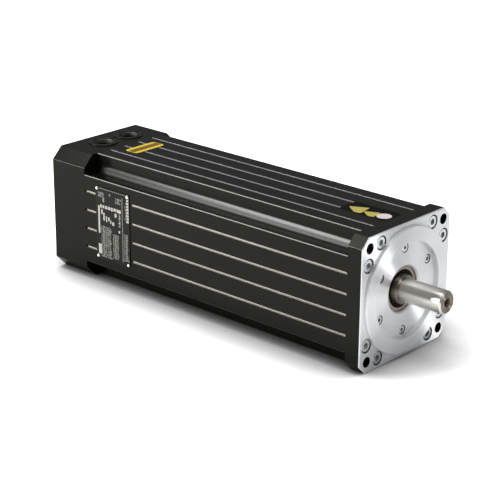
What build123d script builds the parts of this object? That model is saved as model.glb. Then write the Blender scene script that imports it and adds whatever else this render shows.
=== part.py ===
"""Brushless servo motor with a square mounting flange, modelled piece by piece in millimetres.

The origin is the centre of the flange's mounting face. +X runs along the shaft out of the front,
+Z is up, and the connectors stand on top of the rear housing.
"""

from build123d import *
from math import cos, pi, radians, sin, tan
import os

# Frame and mounting flange
frame_width = 140.0
flange_thickness = 17.5
flange_corner_cut = 10.0
flange_edge_chamfer = 0.8
corner_softening = 1.2
pilot_margin = 5.0
pilot_height = 3.5
pilot_chamfer = 0.5
recess_radius = 50.0
recess_depth = 5.5
recess_floor_fillet = 1.0
mounting_circle_excess = 25.0
mounting_hole_radius = 5.5

# Stator housing, an extrusion with four corner notches and grooved sides
housing_length = 366.5
housing_wall = 8.0
side_edge_chamfer = 0.7
notch_clearance = 2.94
groove_width = 2.4
groove_depth = 2.0
groove_pitch = 21.3
grooves_per_side = 4

# Rear housing, which covers the encoder and carries the connectors
rear_length = 52.0
rear_corner_cut = 13.0
rear_wall = 7.0
rear_end_wall = 6.0
rear_pocket_corner_cut = 34.0

# Shaft
shaft_radius = 12.0
shaft_extension = 50.0
shaft_end_chamfer = 1.5
shaft_shoulder_chamfer = 1.0
centre_hole_radius = 3.4
centre_hole_depth = 22.0
centre_sink_radius = 4.6
centre_sink_angle = 60
front_shoulder_radius = 18.0
rear_shoulder_radius = 13.0
encoder_journal_radius = 6.0
encoder_journal_overhang = 1.0

# Bearings: bore, outer radius, width, number of balls, ball radius
front_bearing_bore = 15.0
front_bearing_outer = 31.0
front_bearing_width = 16.0
front_ball_count = 9
front_ball_radius = 4.76
rear_bearing_bore = 10.0
rear_bearing_outer = 23.5
rear_bearing_width = 14.0
rear_ball_count = 8
rear_ball_radius = 3.97
ball_play = 0.2
race_shoulder_share = 0.55
cage_thickness = 1.6
cage_width_share = 2.5
seat_clearance = 0.01

# Shaft seal
seal_outer_radius = 23.5
seal_width = 7.0
seal_setback = 3.5
seal_bore_chamfer = 1.5
seal_case_wall = 1.2
seal_front_wall = 1.6
seal_lip_clearance = 0.04
seal_lip_length = 4.8
seal_lip_wall = 1.4
seal_lip_root = 3.2
seal_dust_lip = 0.5
seal_spring_radius = 0.6
bearing_lip_width = 3.5
bearing_lip_height = 10.0

# Front hub, bearing cap and spigots
hub_radius = 50.0
hub_end_step = 1.5
spigot_length = 8.0
spigot_clearance = 0.05
oring_width = 2.4
oring_depth = 1.8
oring_clearance = 0.05
cap_thickness = 8.0
cap_relief_depth = 1.5
cap_ring_overlap = 4.0
cap_shaft_gap = 1.0

# Screws
flange_screw_radius = 4.0
flange_screw_head_radius = 6.5
flange_screw_head_height = 8.0
flange_screw_key = 6.0
flange_screw_length = 30.0
flange_screw_edge_gap = 10.5
flange_screw_notch_gap = 8.9
flange_screw_sink = 8.6
flange_counterbore_radius = 7.5
cap_screw_radius = 2.5
cap_screw_head_radius = 4.25
cap_screw_head_height = 5.0
cap_screw_key = 4.0
cap_screw_length = 31.0
cap_screw_edge_gap = 7.0
cap_screw_count = 6
cap_screw_start = 30.0
cap_screw_sink = 5.4
cap_counterbore_radius = 4.9
rear_screw_radius = 3.0
rear_screw_head_radius = 5.0
rear_screw_head_height = 6.0
rear_screw_key = 5.0
rear_screw_sink = 6.6
rear_screw_grip = 14.0
rear_screw_end_gap = 2.0
rear_counterbore_radius = 5.6
screw_hole_clearance = 0.5
thread_clearance = 0.1
head_chamfer_share = 0.08
key_depth_share = 0.55

# Stator core and windings
slot_count = 12
core_clearance = 0.05
yoke_thickness = 8.45
slot_depth = 16.0
tooth_width = 11.0
tooth_shoe_thickness = 2.8
tooth_root_overlap = 2.0
slot_opening = 3.0
front_winding_room = 20.0
rear_winding_room = 19.0
coil_gap = 0.5
coil_neighbour_gap = 0.46
coil_top_gap = 1.7
coil_end_gap = 4.0
coil_corner_radius = 1.5
insulator_plate = 3.2
coil_end_cover = 3.3
insulator_wall = 3.0
insulator_slot_room = 2.0
terminal_ring_thickness = 2.4
terminal_ring_overlap = 3.5
thermistor_radius = 1.5
thermistor_length = 8.0

# Rotor
pole_count = 8
magnet_rows = 3
air_gap = 0.95
magnet_thickness = 5.5
rotor_core_wall = 9.5
magnet_half_angle = 19.5
magnet_row_gap = 0.5
magnet_base_gap = 0.05
sleeve_thickness = 0.5
balance_disc_thickness = 5.0
balance_hole_radius = 2.5
balance_hole_depth = 2.0
balance_hole_count = 3
balance_hole_spread = 90.0
front_balance_start = 20.0
rear_balance_start = 110.0

# Rear bearing bracket
bracket_thickness = 12.0
bracket_step = 6.0
bracket_rim = 4.0
bracket_hub_radius = 32.0
bracket_hub_length = 12.0
bracket_lip_radius = 19.0
bracket_lip_width = 4.5
wave_spring_thickness = 2.0
wave_spring_inner_radius = 20.0
wave_spring_strip = 0.5
wave_spring_clearance = 0.2
lead_window_height = 11.0
lead_window_width = 12.0
lead_window_corner = 2.0
circlip_width = 1.5
circlip_groove_depth = 0.7
circlip_height = 2.6
circlip_opening = 7.15
lock_nut_width = 4.5
lock_nut_radius = 15.0
lock_nut_slot_count = 4
lock_nut_slot_width = 4.0
lock_nut_slot_depth = 1.5

# Encoder
encoder_radius = 29.0
encoder_base_thickness = 4.0
encoder_base_bore = 11.0
encoder_post_radius = 2.2
encoder_post_circle = 46.0
encoder_post_height = 14.0
encoder_wall = 1.5
encoder_cover_length = 20.0
encoder_hub_radius = 9.0
encoder_hub_length = 7.0
encoder_hub_gap = 0.5
encoder_disc_radius = 19.0
encoder_disc_thickness = 1.4
encoder_nose_radius = 7.5
encoder_nose_length = 1.2
encoder_board_thickness = 1.6
encoder_board_clearance = 0.5
encoder_reader_height = 3.0
encoder_reader_width = 9.0
encoder_reader_depth = 7.0
encoder_reader_corner = 0.8
encoder_reader_inset = 4.0
encoder_screw_radius = 1.5
encoder_screw_head_radius = 2.6
encoder_screw_head_height = 2.0
encoder_screw_length = 8.0
encoder_screw_key = 2.0
encoder_screw_circle = 46.0
encoder_screw_count = 3

# Connectors
connector_pitch = 38.0
connector_offset = 2.0
connector_flange_radius = 16.5
connector_flange_height = 3.0
connector_stand_up = 1.0
connector_rim_chamfer = 0.4
connector_body_radius = 12.6
connector_well_radius = 11.0
connector_well_depth = 14.0
connector_insert_thickness = 7.0
connector_seat_gap = 0.1
connector_screw_setback = 0.2
connector_screw_circle = 28.4
connector_screw_count = 4
connector_screw_radius = 1.1
connector_screw_head_radius = 1.6
connector_screw_head_height = 1.0
connector_screw_length = 5.0
connector_screw_key = 1.3
gasket_thickness = 0.5
pin_stand_up = 8.0
pin_clearance = 0.03
pin_chamfer_share = 0.33
power_pin_radius = 1.5
power_pin_pitch = 7.0
signal_pin_radius = 0.6
signal_outer_circle = 15.0
signal_inner_circle = 6.5
signal_outer_count = 8
signal_inner_count = 4
lead_encoder_gap = 9.0
lead_level_step = 4.5
lead_rise_end = 3.0
encoder_cable_radius = 2.5
cable_gland_size = 9.0
cable_gland_overlap = 2.5
cable_gland_top = 27.0

# Nameplate
plate_length = 52.0
plate_height = 82.0
plate_thickness = 0.8
plate_corner_radius = 1.5
plate_setback = 44.2
plate_centre_z = 1.1
rivet_edge_x = 2.5
rivet_edge_z = 2.3
rivet_head_radius = 1.6
rivet_head_height = 0.9
rivet_shank_radius = 1.1
rivet_shank_length = 4.0

# Places along the shaft, worked out from the sizes above
flange_back = -flange_thickness
housing_back = flange_back - housing_length
rear_end = housing_back - rear_length
recess_floor = pilot_height - recess_depth
seal_front = recess_floor - seal_setback
seal_back = seal_front - seal_width
front_bearing_x = seal_back - bearing_lip_width
front_bearing_back = front_bearing_x - front_bearing_width
cap_back = front_bearing_back - cap_thickness
bracket_front = housing_back + bracket_thickness
bracket_hub_front = bracket_front + bracket_hub_length
core_front_x = cap_back - front_winding_room
core_back = bracket_hub_front + rear_winding_room
core_length = core_front_x - core_back
rear_seat_back = housing_back + bracket_lip_width
rear_bearing_back = rear_seat_back + wave_spring_thickness
rear_bearing_x = rear_bearing_back + rear_bearing_width
encoder_base_back = housing_back - encoder_base_thickness
encoder_hub_x = encoder_base_back - encoder_hub_gap
encoder_disc_x = encoder_hub_x - encoder_hub_length
encoder_nose_x = encoder_disc_x - encoder_disc_thickness - encoder_nose_length
encoder_board_x = encoder_base_back - encoder_post_height
encoder_cover_back = encoder_base_back - encoder_cover_length
journal_end = encoder_nose_x - encoder_journal_overhang
plate_centre_x = housing_back + plate_setback

# Sizes across the frame, worked inwards from its width
half = frame_width / 2
pilot_radius = half - pilot_margin
mounting_circle = frame_width + mounting_circle_excess
notch_radius = mounting_hole_radius + notch_clearance
side_half_width = mounting_circle / 2 * cos(pi / 4) - notch_radius
notch_size = frame_width - 2 * side_half_width
flange_screw_far = half - flange_screw_edge_gap
flange_screw_near = side_half_width - flange_screw_notch_gap
housing_bore_radius = half - housing_wall
spigot_radius = housing_bore_radius - spigot_clearance
bracket_flange_radius = housing_bore_radius + bracket_rim
core_outer_radius = housing_bore_radius - core_clearance
slot_bottom_radius = core_outer_radius - yoke_thickness
air_bore_radius = slot_bottom_radius - slot_depth
shoe_radius = air_bore_radius + tooth_shoe_thickness
coil_base_radius = shoe_radius + coil_gap
coil_height = slot_bottom_radius - coil_top_gap - coil_base_radius
coil_inner_half = tooth_width / 2 + coil_gap
coil_outer_half = coil_base_radius * tan(pi / slot_count) - coil_neighbour_gap / 2
coil_side_width = coil_outer_half - coil_inner_half
insulator_wall_height = coil_end_gap + coil_side_width + coil_end_cover
terminal_ring_bore = air_bore_radius - terminal_ring_overlap
sleeve_outer_radius = air_bore_radius - air_gap
sleeve_inner_radius = sleeve_outer_radius - sleeve_thickness
magnet_outer_radius = sleeve_inner_radius - magnet_base_gap
magnet_base_distance = magnet_outer_radius - magnet_thickness
rotor_seat_radius = magnet_base_distance - rotor_core_wall
balance_hole_circle = rotor_seat_radius + magnet_outer_radius

# Round the shaft and in the rear housing
lip_radius = front_bearing_outer - bearing_lip_height
cap_radius = hub_radius - hub_end_step
cap_screw_circle = 2 * (hub_radius - cap_screw_edge_gap)
rivet_spacing_x = plate_length - 2 * rivet_edge_x
rivet_spacing_z = plate_height - 2 * rivet_edge_z
connector_x = housing_back - rear_length / 2
power_y = connector_offset - connector_pitch / 2
signal_y = connector_offset + connector_pitch / 2
connector_top = half + connector_stand_up
flange_seat_z = connector_top - connector_flange_height
insert_top = connector_top - connector_well_depth
insert_bottom = insert_top - connector_insert_thickness
lead_level = encoder_radius + lead_encoder_gap
lead_bend_radius = insert_bottom - lead_rise_end - lead_level

flange_screw_places = [
    (side * y, end * z)
    for y, z in ((flange_screw_near, flange_screw_far), (flange_screw_far, flange_screw_near))
    for side in (-1, 1)
    for end in (-1, 1)
]
rear_screw_places = [
    (side * flange_screw_far, end * flange_screw_near) for side in (-1, 1) for end in (-1, 1)
]
groove_offsets = [
    (index - (grooves_per_side - 1) / 2) * groove_pitch for index in range(grooves_per_side)
]
power_pins = [
    (connector_x + along * power_pin_pitch / 2, power_y + across * power_pin_pitch / 2)
    for along in (-1, 1)
    for across in (-1, 1)
]


def ring(back_x, front_x, inner_radius, outer_radius):
    """A plain ring about the shaft axis."""
    with BuildPart() as piece:
        with BuildSketch(Plane.YZ.offset(back_x)):
            Circle(outer_radius)
            Circle(inner_radius, mode=Mode.SUBTRACT)
        extrude(amount=front_x - back_x)
    return piece


def socket_screws(places, outward, head_radius, head_height, key_width, shank_radius, length):
    """Socket head screws. A place is the middle of a head's top and outward the way it faces."""
    with BuildPart() as screws:
        for place in places:
            top = Plane(origin=place, z_dir=outward)
            with BuildSketch(top):
                Circle(head_radius)
            extrude(amount=-head_height)
            rim = screws.edges(Select.LAST).filter_by(GeomType.CIRCLE)
            chamfer(rim.sort_by(Axis(place, outward))[-1], head_chamfer_share * head_radius)
            with BuildSketch(top.offset(-head_height)):
                Circle(shank_radius)
            extrude(amount=-length)
            with BuildSketch(top):
                RegularPolygon(key_width / 2, 6, major_radius=False)
            extrude(amount=-key_depth_share * head_height, mode=Mode.SUBTRACT)
    return screws


def ball_bearing(back_x, bore, outer, width, ball_count, ball_radius):
    """A deep groove ball bearing: its outer ring, inner ring, balls and cage."""
    pitch = (bore + outer) / 2
    shoulder = race_shoulder_share * ball_radius
    groove = ball_radius + ball_play
    middle = back_x + width / 2
    spots = [
        (middle, pitch * cos(2 * pi * n / ball_count), pitch * sin(2 * pi * n / ball_count))
        for n in range(ball_count)
    ]
    rings = []
    for low, high in ((pitch + shoulder, outer), (bore, pitch - shoulder)):
        with BuildPart() as race:
            with BuildSketch(Plane.XY):
                with Locations((middle, (low + high) / 2)):
                    Rectangle(width, high - low)
                with Locations((middle, pitch)):
                    Circle(groove, mode=Mode.SUBTRACT)
            revolve(axis=Axis.X)
        rings.append(race)
    with BuildPart() as balls:
        with Locations(*spots):
            Sphere(ball_radius)
    with BuildPart() as cage:
        cage_width = cage_width_share * ball_radius
        with BuildSketch(Plane.YZ.offset(middle - cage_width / 2)):
            Circle(pitch + cage_thickness / 2)
            Circle(pitch - cage_thickness / 2, mode=Mode.SUBTRACT)
        extrude(amount=cage_width)
        with Locations(*spots):
            Sphere(ball_radius + ball_play / 2, mode=Mode.SUBTRACT)
    return rings[0], rings[1], balls, cage


# Front flange: square plate, pilot, recess, seal bore and bearing hub in one casting
with BuildPart() as front_flange:
    with BuildSketch(Plane.YZ.offset(flange_back)):
        Rectangle(frame_width, frame_width)
        chamfer(vertices(), flange_corner_cut)
        fillet(vertices(), corner_softening)
    extrude(amount=flange_thickness)
    chamfer(faces().sort_by(Axis.X)[-1].outer_wire().edges(), flange_edge_chamfer)
    with BuildSketch(Plane.YZ):
        Circle(pilot_radius)
    extrude(amount=pilot_height)
    chamfer(faces().sort_by(Axis.X)[-1].outer_wire().edges(), pilot_chamfer)
    with BuildSketch(Plane.YZ.offset(flange_back)):
        Circle(spigot_radius)
    extrude(amount=-spigot_length)
    with BuildSketch(Plane.YZ.offset(flange_back)):
        Circle(hub_radius)
    extrude(amount=front_bearing_back - flange_back)
    with BuildSketch(Plane.XY):
        with BuildLine():
            Polyline(
                (pilot_height, 0),
                (pilot_height, recess_radius),
                (recess_floor, recess_radius),
                (recess_floor, seal_outer_radius + seal_bore_chamfer),
                (recess_floor - seal_bore_chamfer, seal_outer_radius),
                (seal_back, seal_outer_radius),
                (seal_back, lip_radius),
                (front_bearing_x, lip_radius),
                (front_bearing_x, front_bearing_outer + seat_clearance),
                (front_bearing_back, front_bearing_outer + seat_clearance),
                (front_bearing_back, 0),
                close=True,
            )
        make_face()
    revolve(axis=Axis.X, mode=Mode.SUBTRACT)
    floor_edges = edges().filter_by(GeomType.CIRCLE).filter_by(
        lambda edge: abs(edge.radius - recess_radius) < seat_clearance
    )
    fillet(floor_edges.sort_by(Axis.X)[0], recess_floor_fillet)
    with BuildSketch(Plane.XY):
        with Locations((flange_back - spigot_length / 2, spigot_radius - oring_depth / 2)):
            Rectangle(oring_width, oring_depth)
    revolve(axis=Axis.X, mode=Mode.SUBTRACT)
    with Locations(Plane.YZ):
        with PolarLocations(mounting_circle / 2, 4, start_angle=45):
            Hole(mounting_hole_radius)
    with Locations(Plane.YZ.offset(pilot_height)):
        with Locations(*flange_screw_places):
            CounterBoreHole(
                flange_screw_radius + screw_hole_clearance,
                flange_counterbore_radius,
                pilot_height + flange_screw_sink,
            )
    with Locations(Plane.YZ.offset(recess_floor)):
        with PolarLocations(cap_screw_circle / 2, cap_screw_count, start_angle=cap_screw_start):
            CounterBoreHole(
                cap_screw_radius + screw_hole_clearance / 2, cap_counterbore_radius, cap_screw_sink
            )

# Stator housing: one extrusion with notched corners, grooved sides and a round bore
with BuildPart() as stator_housing:
    with BuildSketch(Plane.YZ.offset(housing_back)) as housing_section:
        Rectangle(frame_width, frame_width)
        with GridLocations(frame_width, frame_width, 2, 2):
            Rectangle(notch_size, notch_size, mode=Mode.SUBTRACT)
        by_distance = housing_section.vertices().sort_by_distance((0, 0))
        fillet(by_distance[:4], notch_radius)
        corners = housing_section.vertices().sort_by_distance((0, 0))[-8:]
        chamfer(corners, side_edge_chamfer)
        for offset_along in groove_offsets:
            with Locations((half, offset_along), (-half, offset_along)):
                Rectangle(2 * groove_depth, groove_width, mode=Mode.SUBTRACT)
            with Locations((offset_along, half), (offset_along, -half)):
                Rectangle(groove_width, 2 * groove_depth, mode=Mode.SUBTRACT)
        Circle(housing_bore_radius, mode=Mode.SUBTRACT)
    extrude(amount=housing_length)
    with BuildSketch(Plane.YZ.offset(housing_back)):
        Circle(bracket_flange_radius + spigot_clearance)
    extrude(amount=bracket_step, mode=Mode.SUBTRACT)
    with Locations(Plane.YZ.offset(flange_back)):
        with Locations(*flange_screw_places):
            Hole(flange_screw_radius, depth=flange_screw_length - flange_screw_sink)
    with Locations(Plane(origin=(housing_back, 0, 0), x_dir=(0, 1, 0), z_dir=(-1, 0, 0))):
        with Locations(*rear_screw_places):
            Hole(rear_screw_radius, depth=rear_screw_grip + rear_screw_end_gap)
    with BuildSketch(Plane.XZ.offset(half)):
        with Locations((plate_centre_x, plate_centre_z)):
            with GridLocations(rivet_spacing_x, rivet_spacing_z, 2, 2):
                Circle(rivet_shank_radius)
    extrude(amount=-rivet_shank_length, mode=Mode.SUBTRACT)

# Rear housing: a deep cover with corner lands for its screws and two seats for the connectors
with BuildPart() as rear_housing:
    with BuildSketch(Plane.YZ.offset(rear_end)):
        Rectangle(frame_width, frame_width)
        chamfer(vertices(), rear_corner_cut)
        fillet(vertices(), corner_softening)
    extrude(amount=rear_length)
    chamfer(faces().sort_by(Axis.X)[0].outer_wire().edges(), corner_softening)
    with BuildSketch(Plane.YZ.offset(housing_back)):
        Rectangle(frame_width - 2 * rear_wall, frame_width - 2 * rear_wall)
        chamfer(vertices(), rear_pocket_corner_cut)
        fillet(vertices(), rear_wall)
    extrude(amount=-(rear_length - rear_end_wall), mode=Mode.SUBTRACT)
    rear_face = Plane(origin=(rear_end, 0, 0), x_dir=(0, 1, 0), z_dir=(-1, 0, 0))
    with Locations(rear_face):
        with Locations(*rear_screw_places):
            CounterBoreHole(
                rear_screw_radius + screw_hole_clearance, rear_counterbore_radius, rear_screw_sink
            )
    for centre_y in (power_y, signal_y):
        with BuildSketch(Plane.XY.offset(connector_top)):
            with Locations((connector_x, centre_y)):
                Circle(connector_flange_radius + connector_seat_gap)
        extrude(amount=-connector_flange_height - gasket_thickness, mode=Mode.SUBTRACT)
        with BuildSketch(Plane.XY.offset(connector_top)):
            with Locations((connector_x, centre_y)):
                Circle(connector_body_radius + connector_seat_gap)
        extrude(amount=-connector_top / 2, mode=Mode.SUBTRACT)
        with BuildSketch(Plane.XY.offset(flange_seat_z)):
            with Locations((connector_x, centre_y)):
                with PolarLocations(connector_screw_circle / 2, connector_screw_count):
                    Circle(connector_screw_radius)
        extrude(amount=-connector_screw_length, mode=Mode.SUBTRACT)

# Screws that hold the flange, the bearing cap and the rear housing
flange_screws = socket_screws(
    [
        (-flange_screw_sink + flange_screw_head_height, y, z)
        for y, z in flange_screw_places
    ],
    (1, 0, 0),
    flange_screw_head_radius,
    flange_screw_head_height,
    flange_screw_key,
    flange_screw_radius - thread_clearance,
    flange_screw_length - thread_clearance - flange_screw_sink + flange_screw_head_height,
)
cap_screw_top = recess_floor - cap_screw_sink + cap_screw_head_height
cap_screw_turns = [
    radians(cap_screw_start + 360 * n / cap_screw_count) for n in range(cap_screw_count)
]
bearing_cap_screws = socket_screws(
    [
        (cap_screw_top, cap_screw_circle / 2 * cos(turn), cap_screw_circle / 2 * sin(turn))
        for turn in cap_screw_turns
    ],
    (1, 0, 0),
    cap_screw_head_radius,
    cap_screw_head_height,
    cap_screw_key,
    cap_screw_radius - thread_clearance,
    cap_screw_length,
)
rear_housing_screws = socket_screws(
    [(rear_end + rear_screw_sink - rear_screw_head_height, y, z) for y, z in rear_screw_places],
    (-1, 0, 0),
    rear_screw_head_radius,
    rear_screw_head_height,
    rear_screw_key,
    rear_screw_radius - thread_clearance,
    rear_length - rear_screw_sink + rear_screw_grip,
)

# Front bearing cap, tapped for the cap screws and relieved round the turning ring
with BuildPart() as front_bearing_cap:
    with BuildSketch(Plane.XY):
        with BuildLine():
            Polyline(
                (front_bearing_back, front_bearing_outer - cap_ring_overlap),
                (front_bearing_back, cap_radius),
                (cap_back, cap_radius),
                (cap_back, front_shoulder_radius + cap_shaft_gap),
                (front_bearing_back - cap_relief_depth, front_shoulder_radius + cap_shaft_gap),
                (front_bearing_back - cap_relief_depth, front_bearing_outer - cap_ring_overlap),
                close=True,
            )
        make_face()
    revolve(axis=Axis.X)
    with BuildSketch(Plane.YZ.offset(front_bearing_back)):
        with PolarLocations(cap_screw_circle / 2, cap_screw_count, start_angle=cap_screw_start):
            Circle(cap_screw_radius)
    extrude(amount=-cap_thickness, mode=Mode.SUBTRACT)

# Shaft seal: a stiff case with a lip that slopes forward to the shaft, and its garter spring
lip_tip_radius = front_bearing_bore + seal_lip_clearance
lip_back = seal_front - seal_lip_length
case_inner_radius = seal_outer_radius - seal_case_wall
with BuildPart() as shaft_seal:
    with BuildSketch(Plane.XY):
        with BuildLine():
            Polyline(
                (seal_front, seal_outer_radius),
                (seal_back, seal_outer_radius),
                (seal_back, case_inner_radius),
                (seal_front - seal_front_wall, case_inner_radius),
                (seal_front - seal_front_wall, lip_tip_radius + seal_lip_root),
                (lip_back + seal_lip_wall, lip_tip_radius + 2 * seal_lip_wall),
                (lip_back, lip_tip_radius + seal_lip_wall),
                (lip_back, lip_tip_radius),
                (lip_back + seal_lip_wall, lip_tip_radius),
                (seal_front - seal_lip_wall, lip_tip_radius + seal_lip_wall),
                (seal_front - seal_dust_lip, lip_tip_radius + seal_dust_lip),
                (seal_front, lip_tip_radius + seal_lip_wall),
                close=True,
            )
        make_face()
    revolve(axis=Axis.X)
with BuildPart() as seal_spring:
    off_slope = (seal_spring_radius + seal_lip_clearance) * cos(pi / 4)
    spring_x = lip_back + seal_lip_wall / 2 - off_slope
    spring_seat_radius = lip_tip_radius + seal_lip_wall + seal_lip_wall / 2
    with BuildSketch(Plane.XY):
        with Locations((spring_x, spring_seat_radius + off_slope)):
            Circle(seal_spring_radius)
    revolve(axis=Axis.X)

# Sealing rings on the two spigots
front_oring_x = flange_back - spigot_length / 2
front_oring = ring(
    front_oring_x - oring_width / 2 + oring_clearance,
    front_oring_x + oring_width / 2 - oring_clearance,
    spigot_radius - oring_depth,
    housing_bore_radius,
)
rear_oring_x = housing_back + (bracket_step + bracket_thickness) / 2
rear_oring = ring(
    rear_oring_x - oring_width / 2 + oring_clearance,
    rear_oring_x + oring_width / 2 - oring_clearance,
    spigot_radius - oring_depth,
    housing_bore_radius,
)

# Bearings
front_outer_ring, front_inner_ring, front_balls, front_cage = ball_bearing(
    front_bearing_back,
    front_bearing_bore,
    front_bearing_outer,
    front_bearing_width,
    front_ball_count,
    front_ball_radius,
)
rear_outer_ring, rear_inner_ring, rear_balls, rear_cage = ball_bearing(
    rear_bearing_back,
    rear_bearing_bore,
    rear_bearing_outer,
    rear_bearing_width,
    rear_ball_count,
    rear_ball_radius,
)

# Rear bearing bracket, clamped between the two housings, with a window for the phase leads
with BuildPart() as rear_bracket:
    with BuildSketch(Plane.XY):
        with BuildLine():
            Polyline(
                (housing_back, bracket_lip_radius),
                (housing_back, bracket_flange_radius),
                (housing_back + bracket_step, bracket_flange_radius),
                (housing_back + bracket_step, spigot_radius),
                (bracket_front, spigot_radius),
                (bracket_front, bracket_hub_radius),
                (bracket_hub_front, bracket_hub_radius),
                (bracket_hub_front, rear_bearing_outer + seat_clearance),
                (rear_seat_back, rear_bearing_outer + seat_clearance),
                (rear_seat_back, bracket_lip_radius),
                close=True,
            )
        make_face()
        with Locations((rear_oring_x, spigot_radius - oring_depth / 2)):
            Rectangle(oring_width, oring_depth, mode=Mode.SUBTRACT)
    revolve(axis=Axis.X)
    with BuildSketch(Plane.YZ.offset(housing_back)):
        with Locations((power_y, lead_level - lead_level_step / 2)):
            RectangleRounded(lead_window_width, lead_window_height, lead_window_corner)
    extrude(amount=bracket_thickness + bracket_hub_length, mode=Mode.SUBTRACT)
    with BuildSketch(Plane.YZ.offset(housing_back)):
        with PolarLocations(encoder_screw_circle / 2, encoder_screw_count):
            Circle(encoder_screw_radius)
    extrude(amount=bracket_lip_width, mode=Mode.SUBTRACT)

# Wave spring that preloads the rear bearing: a thin washer bowed along one diameter
with BuildPart() as wave_spring:
    crest = rear_bearing_back - wave_spring_strip
    trough = rear_seat_back
    with BuildSketch(Plane.XY.offset(-rear_bearing_outer)):
        with BuildLine():
            upper = ThreePointArc(
                (trough + wave_spring_strip, -rear_bearing_outer),
                (crest + wave_spring_strip, 0),
                (trough + wave_spring_strip, rear_bearing_outer),
            )
            lower = ThreePointArc(
                (trough, -rear_bearing_outer), (crest, 0), (trough, rear_bearing_outer)
            )
            Line(upper @ 0, lower @ 0)
            Line(upper @ 1, lower @ 1)
        make_face()
    extrude(amount=2 * rear_bearing_outer)
    with BuildSketch(Plane.YZ.offset(rear_seat_back)):
        Circle(rear_bearing_outer - wave_spring_clearance)
        Circle(wave_spring_inner_radius, mode=Mode.SUBTRACT)
    extrude(amount=wave_spring_thickness, mode=Mode.INTERSECT)

# Shaft, turned in one piece from the output end to the encoder journal
with BuildPart() as shaft:
    with BuildSketch(Plane.XY):
        with BuildLine():
            Polyline(
                (shaft_extension, 0),
                (shaft_extension, shaft_radius - shaft_end_chamfer),
                (shaft_extension - shaft_end_chamfer, shaft_radius),
                (0, shaft_radius),
                (0, front_bearing_bore - shaft_shoulder_chamfer),
                (-shaft_shoulder_chamfer, front_bearing_bore),
                (front_bearing_back, front_bearing_bore),
                (front_bearing_back, front_shoulder_radius),
                (core_front_x, front_shoulder_radius),
                (core_front_x, rotor_seat_radius),
                (core_back, rotor_seat_radius),
                (core_back, rear_shoulder_radius),
                (rear_bearing_x, rear_shoulder_radius),
                (rear_bearing_x, rear_bearing_bore),
                (rear_bearing_back - lock_nut_width, rear_bearing_bore),
                (rear_bearing_back - lock_nut_width, encoder_journal_radius),
                (journal_end, encoder_journal_radius),
                (journal_end, 0),
                close=True,
            )
        make_face()
    revolve(axis=Axis.X)
    with BuildSketch(Plane.YZ.offset(front_bearing_x)):
        Circle(front_bearing_bore)
        Circle(front_bearing_bore - circlip_groove_depth, mode=Mode.SUBTRACT)
    extrude(amount=circlip_width, mode=Mode.SUBTRACT)
    with Locations(Plane.YZ.offset(shaft_extension)):
        CounterSinkHole(
            centre_hole_radius, centre_sink_radius, centre_hole_depth, centre_sink_angle
        )

# Retaining ring ahead of the front bearing, open at the bottom
with BuildPart() as front_retaining_ring:
    clip_inner = front_bearing_bore - circlip_groove_depth
    with BuildSketch(Plane.YZ.offset(front_bearing_x)):
        Circle(clip_inner + circlip_height)
        Circle(clip_inner, mode=Mode.SUBTRACT)
        with Locations((0, -clip_inner)):
            Rectangle(circlip_opening, clip_inner, mode=Mode.SUBTRACT)
    extrude(amount=circlip_width)

# Lock nut behind the rear bearing, with spanner slots
with BuildPart() as rear_lock_nut:
    with BuildSketch(Plane.YZ.offset(rear_bearing_back)):
        Circle(lock_nut_radius)
        Circle(rear_bearing_bore, mode=Mode.SUBTRACT)
        with PolarLocations(lock_nut_radius, lock_nut_slot_count):
            Rectangle(2 * lock_nut_slot_depth, lock_nut_slot_width, mode=Mode.SUBTRACT)
    extrude(amount=-lock_nut_width)

# Stator core: laminations with twelve teeth whose shoes almost close the slots
with BuildPart() as stator_core:
    with BuildSketch(Plane.YZ.offset(core_back)):
        Circle(core_outer_radius)
        Circle(slot_bottom_radius, mode=Mode.SUBTRACT)
        Circle(shoe_radius)
        with PolarLocations((shoe_radius + slot_bottom_radius) / 2, slot_count):
            Rectangle(slot_bottom_radius - shoe_radius + tooth_root_overlap, tooth_width)
        Circle(air_bore_radius, mode=Mode.SUBTRACT)
        with PolarLocations(shoe_radius, slot_count, start_angle=180 / slot_count):
            Rectangle(3 * tooth_shoe_thickness, slot_opening, mode=Mode.SUBTRACT)
    extrude(amount=core_length)

# Stator coils: one racetrack winding round each tooth
with BuildPart() as stator_coils:
    for n in range(slot_count):
        turn = radians(360 * n / slot_count)
        middle = (
            (core_front_x + core_back) / 2,
            coil_base_radius * cos(turn),
            coil_base_radius * sin(turn),
        )
        with BuildSketch(Plane(origin=middle, x_dir=(1, 0, 0), z_dir=(0, cos(turn), sin(turn)))):
            half_length = core_length / 2 + coil_end_gap
            RectangleRounded(
                2 * (half_length + coil_side_width),
                2 * coil_outer_half,
                coil_corner_radius + coil_side_width,
            )
            RectangleRounded(
                2 * half_length, 2 * coil_inner_half, coil_corner_radius, mode=Mode.SUBTRACT
            )
        extrude(amount=coil_height)


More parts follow.
